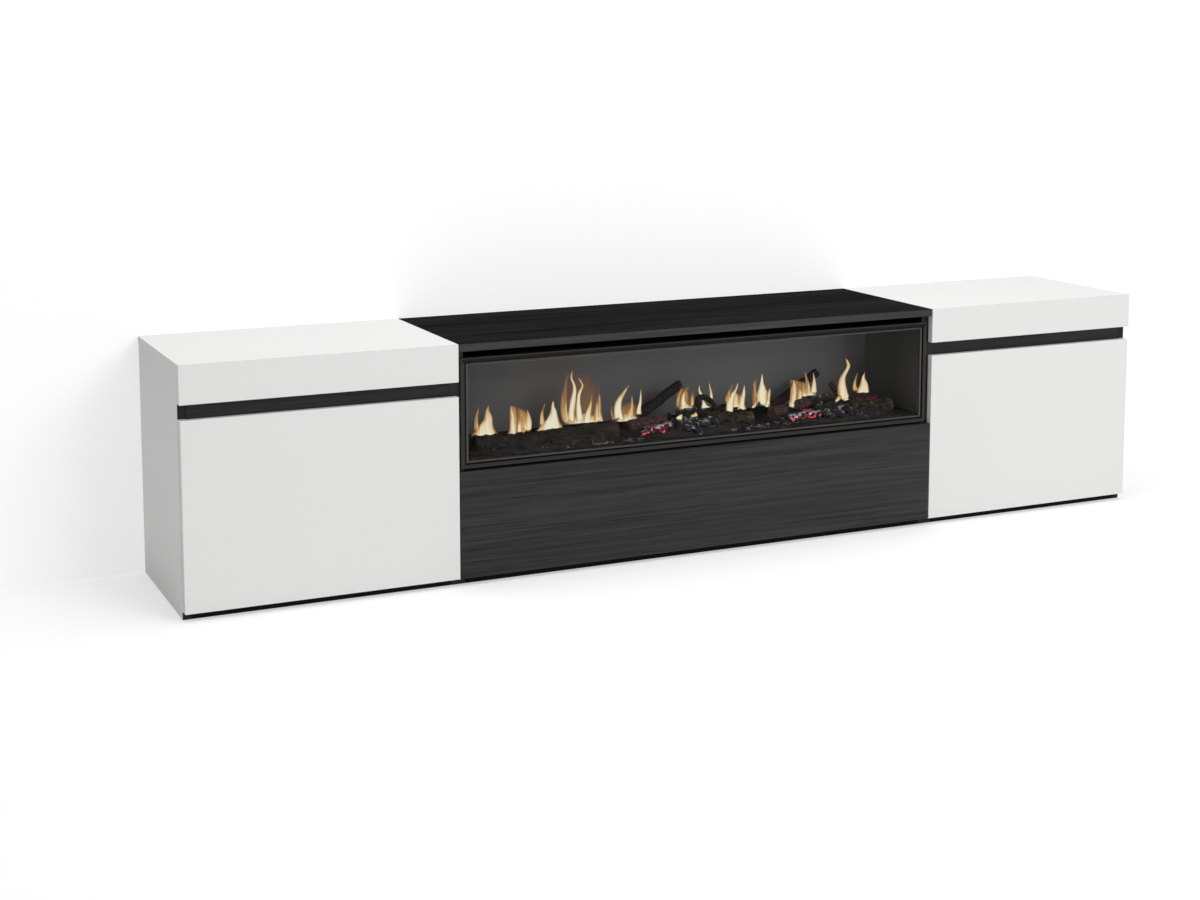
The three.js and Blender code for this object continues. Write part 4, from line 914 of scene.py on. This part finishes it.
class CABINET_OT_logs(bpy.types.Operator):
    """Build the three sets of logs on their beds of coals and ash"""

    bl_idname = "cabinet.logs"
    bl_label = "Logs and embers"

    def execute(self, context):
        wood = Finish("burnt wood")
        where = wood.places()
        fine = wood.noise(where, scale=320, detail=5, rough=0.65)
        patch = wood.noise(where, scale=75, detail=4)
        specks = wood.noise(where, scale=190, rough=0.7)
        crack, moss, ash, glow = map(wood.mark, ("crack", "moss", "ash", "glow"))
        bark = wood.mix(wood.between(fine, 0.35, 0.68), (0.028, 0.02, 0.019), (0.21, 0.118, 0.105))
        brown = wood.between(patch, 0.35, 0.7)
        brown = wood.mix(brown, (0.008, 0.0075, 0.0068), (0.026, 0.023, 0.018))
        green = wood.mix(wood.between(specks, 0.52, 0.66), brown, (0.14, 0.13, 0.055))
        tone = wood.mix(moss, bark, green)
        char = wood.mix(fine, (0.01, 0.01, 0.01), (0.042, 0.04, 0.04))
        tone = wood.mix(wood.mark("bark"), char, tone)
        grain = wood.mix(wood.between(fine, 0.3, 0.7), (0.1, 0.065, 0.055), (0.34, 0.22, 0.19))
        tone = wood.mix(wood.mark("cut") * wood.mark("bark"), tone, grain)
        tone = wood.tint(tone, 0.35 + crack * 0.75)
        dusty = wood.between(ash + (fine - 0.5) * 1.1, 0.42, 0.95)
        tone = wood.mix(dusty, tone, wood.mix(fine, (0.22, 0.235, 0.25), (0.66, 0.7, 0.74)))
        hot = wood.between(glow + (fine - 0.5) * 1.1, 0.3, 0.95)
        fire = wood.ramp(
            hot, (0.0, (0, 0, 0)), (0.3, (0.07, 0.004, 0.008)), (0.7, (0.42, 0.016, 0.035)),
            (1.0, (0.82, 0.11, 0.12)))
        wood.show(
            Base_Color=tone,
            Roughness=0.72 + fine * 0.25,
            Normal=wood.bump(fine + patch * 0.6, 1.6 * MM, 0.8),
            Emission_Color=fire,
            Emission_Strength=1.0,
            Specular_IOR_Level=0.25,
        )
        for number, (name, logs) in enumerate(LOGS.items()):
            rng = np.random.default_rng(41 + number)
            heap = Heap()
            add_bed(heap, BEDS[name], rng)
            for kind, path, radii in logs:
                add_log(heap, kind, path, radii, rng)
            for facts in COALS[name]:
                add_coals(heap, BEDS[name], facts, rng)
            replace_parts(heap.piece(f"{name}_logs", wood), f"fire_logs_{name}")
        return {"FINISHED"}


class CABINET_OT_flames(bpy.types.Operator):
    """Build the flames among the logs"""

    bl_idname = "cabinet.flames"
    bl_label = "Flames"

    def execute(self, context):
        flame = Finish("flame")
        across, rise, warmth, veil = map(flame.mark, ("across", "rise", "warmth", "veil"))
        streak = flame.noise(flame.places((120, 50, 10)), rough=0.62, distort=0.6)
        wave = flame.noise(flame.places((75, 20, 1)), detail=1, rough=0.5)
        solid = 1 - across * across
        streaky = flame.between(warmth, 0.15, 0.4, 0.35, 1.5)
        level = warmth * (0.14 + solid * 0.68) - rise * rise * 0.3 + (streak - 0.5) * streaky + 0.14
        colour = flame.ramp(
            level, (0.08, (0.115, 0.062, 0.044)), (0.3, (0.28, 0.14, 0.055)),
            (0.5, (0.5, 0.29, 0.1)), (0.68, (0.77, 0.58, 0.3)), (0.92, (0.85, 0.82, 0.63)))
        thick = {"Value": solid, "From Max": 0.62}
        edge = flame.node("MapRange", thick, interpolation_type="SMOOTHSTEP")
        foot = flame.between(rise - (wave - 0.35) * 0.28, 0.0, 0.05)
        body = flame.between(warmth, 0.1, 0.4, 0.38, 0.88)
        cover = edge * foot * body * (1.15 - rise * 0.4) * (1 - veil * rise)
        flame.show(
            Base_Color=grey(0.0),
            Roughness=1.0,
            Specular_IOR_Level=0.0,
            Emission_Color=colour,
            Emission_Strength=1.02,
            Alpha=flame.between(cover, 0, 1),
        )
        heap = Heap()
        for back, number, hot, fade, *line in FLAMES:
            depth = FIRE_FRONT + back * FIRE_SPACE[1] + TONGUE_STEP * number
            add_tongue(heap, hot, fade, line, depth, number)
        heap.piece("flames", flame)
        return {"FINISHED"}


def add_tongue(heap, hot, fade, line, depth, number, rings=36, around=20):
    """A tongue of flame: a flat ellipse carried up a smooth line, closed at its foot and tip.

    Place = (line + half width * cos t, depth + thickness * sin t + sway, height). The thickness is
    0.3 of the half width, up to 3 mm, so that a wide tongue keeps behind a narrow one.
    """
    curve = smooth(line, rings)
    angle = TURN * np.arange(around) / around
    rise = np.linspace(0, 1, rings)[:, None]
    half = np.clip(curve[:, 2:], 0.3, None) * MM
    sway = TONGUE_STEP * np.sin(TURN * rise * 0.7 + number)
    heap.add(
        np.stack([
            curve[:, :1] * MM + half * np.cos(angle),
            depth + sway + 0.3 * np.minimum(half, TONGUE_WIDE) * np.sin(angle),
            FIRE_FLOOR + curve[:, 1:2] * MM + 0 * angle,
        ], -1),
        across=np.cos(angle)[None], rise=rise, warmth=float(hot), veil=float(fade),
    )


# The stage


def plain_surface(name, paint, low, high):
    """A flat sheet of the stage between two opposite corners, level or upright."""
    (left, y, z), (right, far_y, far_z) = low, high
    corners = [(left, y, z), (right, y, z), (right, far_y, far_z), (left, far_y, far_z)]
    mesh = bpy.data.meshes.new(name)
    mesh.from_pydata(corners, [], [(0, 1, 2, 3)])
    mesh.materials.append(paint)
    piece = bpy.data.objects.new(name, mesh)
    bpy.context.scene.collection.objects.link(piece)
    return piece


def white_paint(name, level, lift, one_sided=False):
    """Matt white that looks brighter than it is lit. From behind, a one-sided one is clear."""
    material = bpy.data.materials.new(name)
    nodes = Nodes(material)
    paint = nodes.node("BsdfDiffuse", {"Color": grey(level)})
    seen = nodes.node("LightPath", output="Is Camera Ray")
    glow = nodes.node("Emission", {"Strength": seen * lift})
    both = nodes.node("AddShader", {0: paint, 1: glow})
    if one_sided:
        behind = nodes.node("NewGeometry", output="Backfacing")
        both = nodes.node("MixShader", {0: behind, 1: both, 2: nodes.node("BsdfTransparent")})
    nodes.node("OutputMaterial", {"Surface": both})
    return material


def white_sky(context, strength):
    """Even light from all round, which the camera, glass and metal see as plain white."""
    world = bpy.data.worlds.new("studio")
    context.scene.world = world
    nodes = Nodes(world)
    seen, shiny, through = (
        nodes.node("LightPath", output=f"Is {ray} Ray")
        for ray in ("Camera", "Glossy", "Transmission"))
    direct = nodes.maths("MAXIMUM", nodes.maths("MAXIMUM", seen, shiny), through)
    sky = nodes.node("Background", {"Strength": nodes.between(direct, 0, 1, strength, 1)})
    nodes.node("OutputWorld", {"Surface": sky})


# Each lamp: where it stands, its width and height, and the point that it faces
KEY_LAMP = ((3.5, -8.5, 5.0), (5.0, 4.0), (0.2, 0, 0.2))
TOP_LAMP = ((0.1, -0.4, 3.8), (4.0, 2.4), (0.2, 0, 0.2))


def soft_lamp(name, power, place, size, aim):
    """A rectangular lamp. It has no mirror image, which would bleach the white tops."""
    data = bpy.data.lights.new(name, "AREA")
    data.shape = "RECTANGLE"
    data.size, data.size_y = size
    data.energy = power
    lamp = bpy.data.objects.new(name, data)
    bpy.context.scene.collection.objects.link(lamp)
    lamp.location = place
    lamp.visible_glossy = False
    x, y, z = (a - b for a, b in zip(aim, place))
    lamp.rotation_euler = (math.atan2(math.hypot(x, y), -z), 0, math.atan2(-x, y))


class CABINET_OT_stage(bpy.types.Operator):
    """Set the floor, wall, soft light, lamps and camera"""

    bl_idname = "cabinet.stage"
    bl_label = "Stage"

    def execute(self, context):
        stage = context.scene.cabinet_stage
        context.scene.view_settings.view_transform = "Standard"
        context.scene.cycles.transparent_max_bounces = stage.clear_layers
        reach, under = stage.room, -0.5 * MM
        paint = white_paint("floor paint", level=0.72, lift=0.36)
        plain_surface("floor", paint, (-reach, -reach, under), (reach, reach, under))
        wall_y = CAD_BOX[1].y + MM
        paint = white_paint("wall paint", level=0.6, lift=0.5, one_sided=True)
        wall = plain_surface("wall", paint, (-reach, wall_y, under), (reach, wall_y, reach))
        for ray in ("diffuse", "glossy", "transmission", "volume_scatter", "shadow"):
            setattr(wall, "visible_" + ray, False)
        white_sky(context, stage.sky)
        soft_lamp("key lamp", stage.key, *KEY_LAMP)
        soft_lamp("top lamp", stage.top, *TOP_LAMP)

        data = bpy.data.cameras.new("camera")
        data.lens = stage.lens
        data.sensor_width = 36
        data.sensor_fit = "HORIZONTAL"
        data.shift_y = stage.camera_shift
        camera = bpy.data.objects.new("camera", data)
        context.scene.collection.objects.link(camera)
        camera.location = stage.camera_place
        camera.rotation_euler = (math.pi / 2 - stage.camera_dip, 0, -stage.camera_turn)
        context.scene.camera = camera
        return {"FINISHED"}


class CABINET_PT_steps(bpy.types.Panel):
    """The cabinet's steps, in the 3D view's sidebar"""

    bl_label = "Media cabinet"
    bl_space_type = "VIEW_3D"
    bl_region_type = "UI"
    bl_category = "Cabinet"

    def draw(self, context):
        layout = self.layout
        for group in (context.scene.cabinet_look, context.scene.cabinet_stage):
            box = layout.box()
            for key in group.__annotations__:
                box.prop(group, key)
        for step in STEPS:
            layout.operator(step.bl_idname)


STEPS = (
    CABINET_OT_stage,
    CABINET_OT_lacquer,
    CABINET_OT_boards,
    CABINET_OT_metalwork,
    CABINET_OT_fireplace,
    CABINET_OT_logs,
    CABINET_OT_flames,
)
CLASSES = (LookSettings, StageSettings, *STEPS, CABINET_PT_steps)


def register():
    for kind in CLASSES:
        bpy.utils.register_class(kind)
    bpy.types.Scene.cabinet_look = PointerProperty(type=LookSettings)
    bpy.types.Scene.cabinet_stage = PointerProperty(type=StageSettings)


def unregister():
    del bpy.types.Scene.cabinet_stage
    del bpy.types.Scene.cabinet_look
    for kind in reversed(CLASSES):
        bpy.utils.unregister_class(kind)


def main():
    register()
    for step in STEPS:
        _, name = step.bl_idname.split(".")
        getattr(bpy.ops.cabinet, name)()


if __name__ == "__main__":
    main()
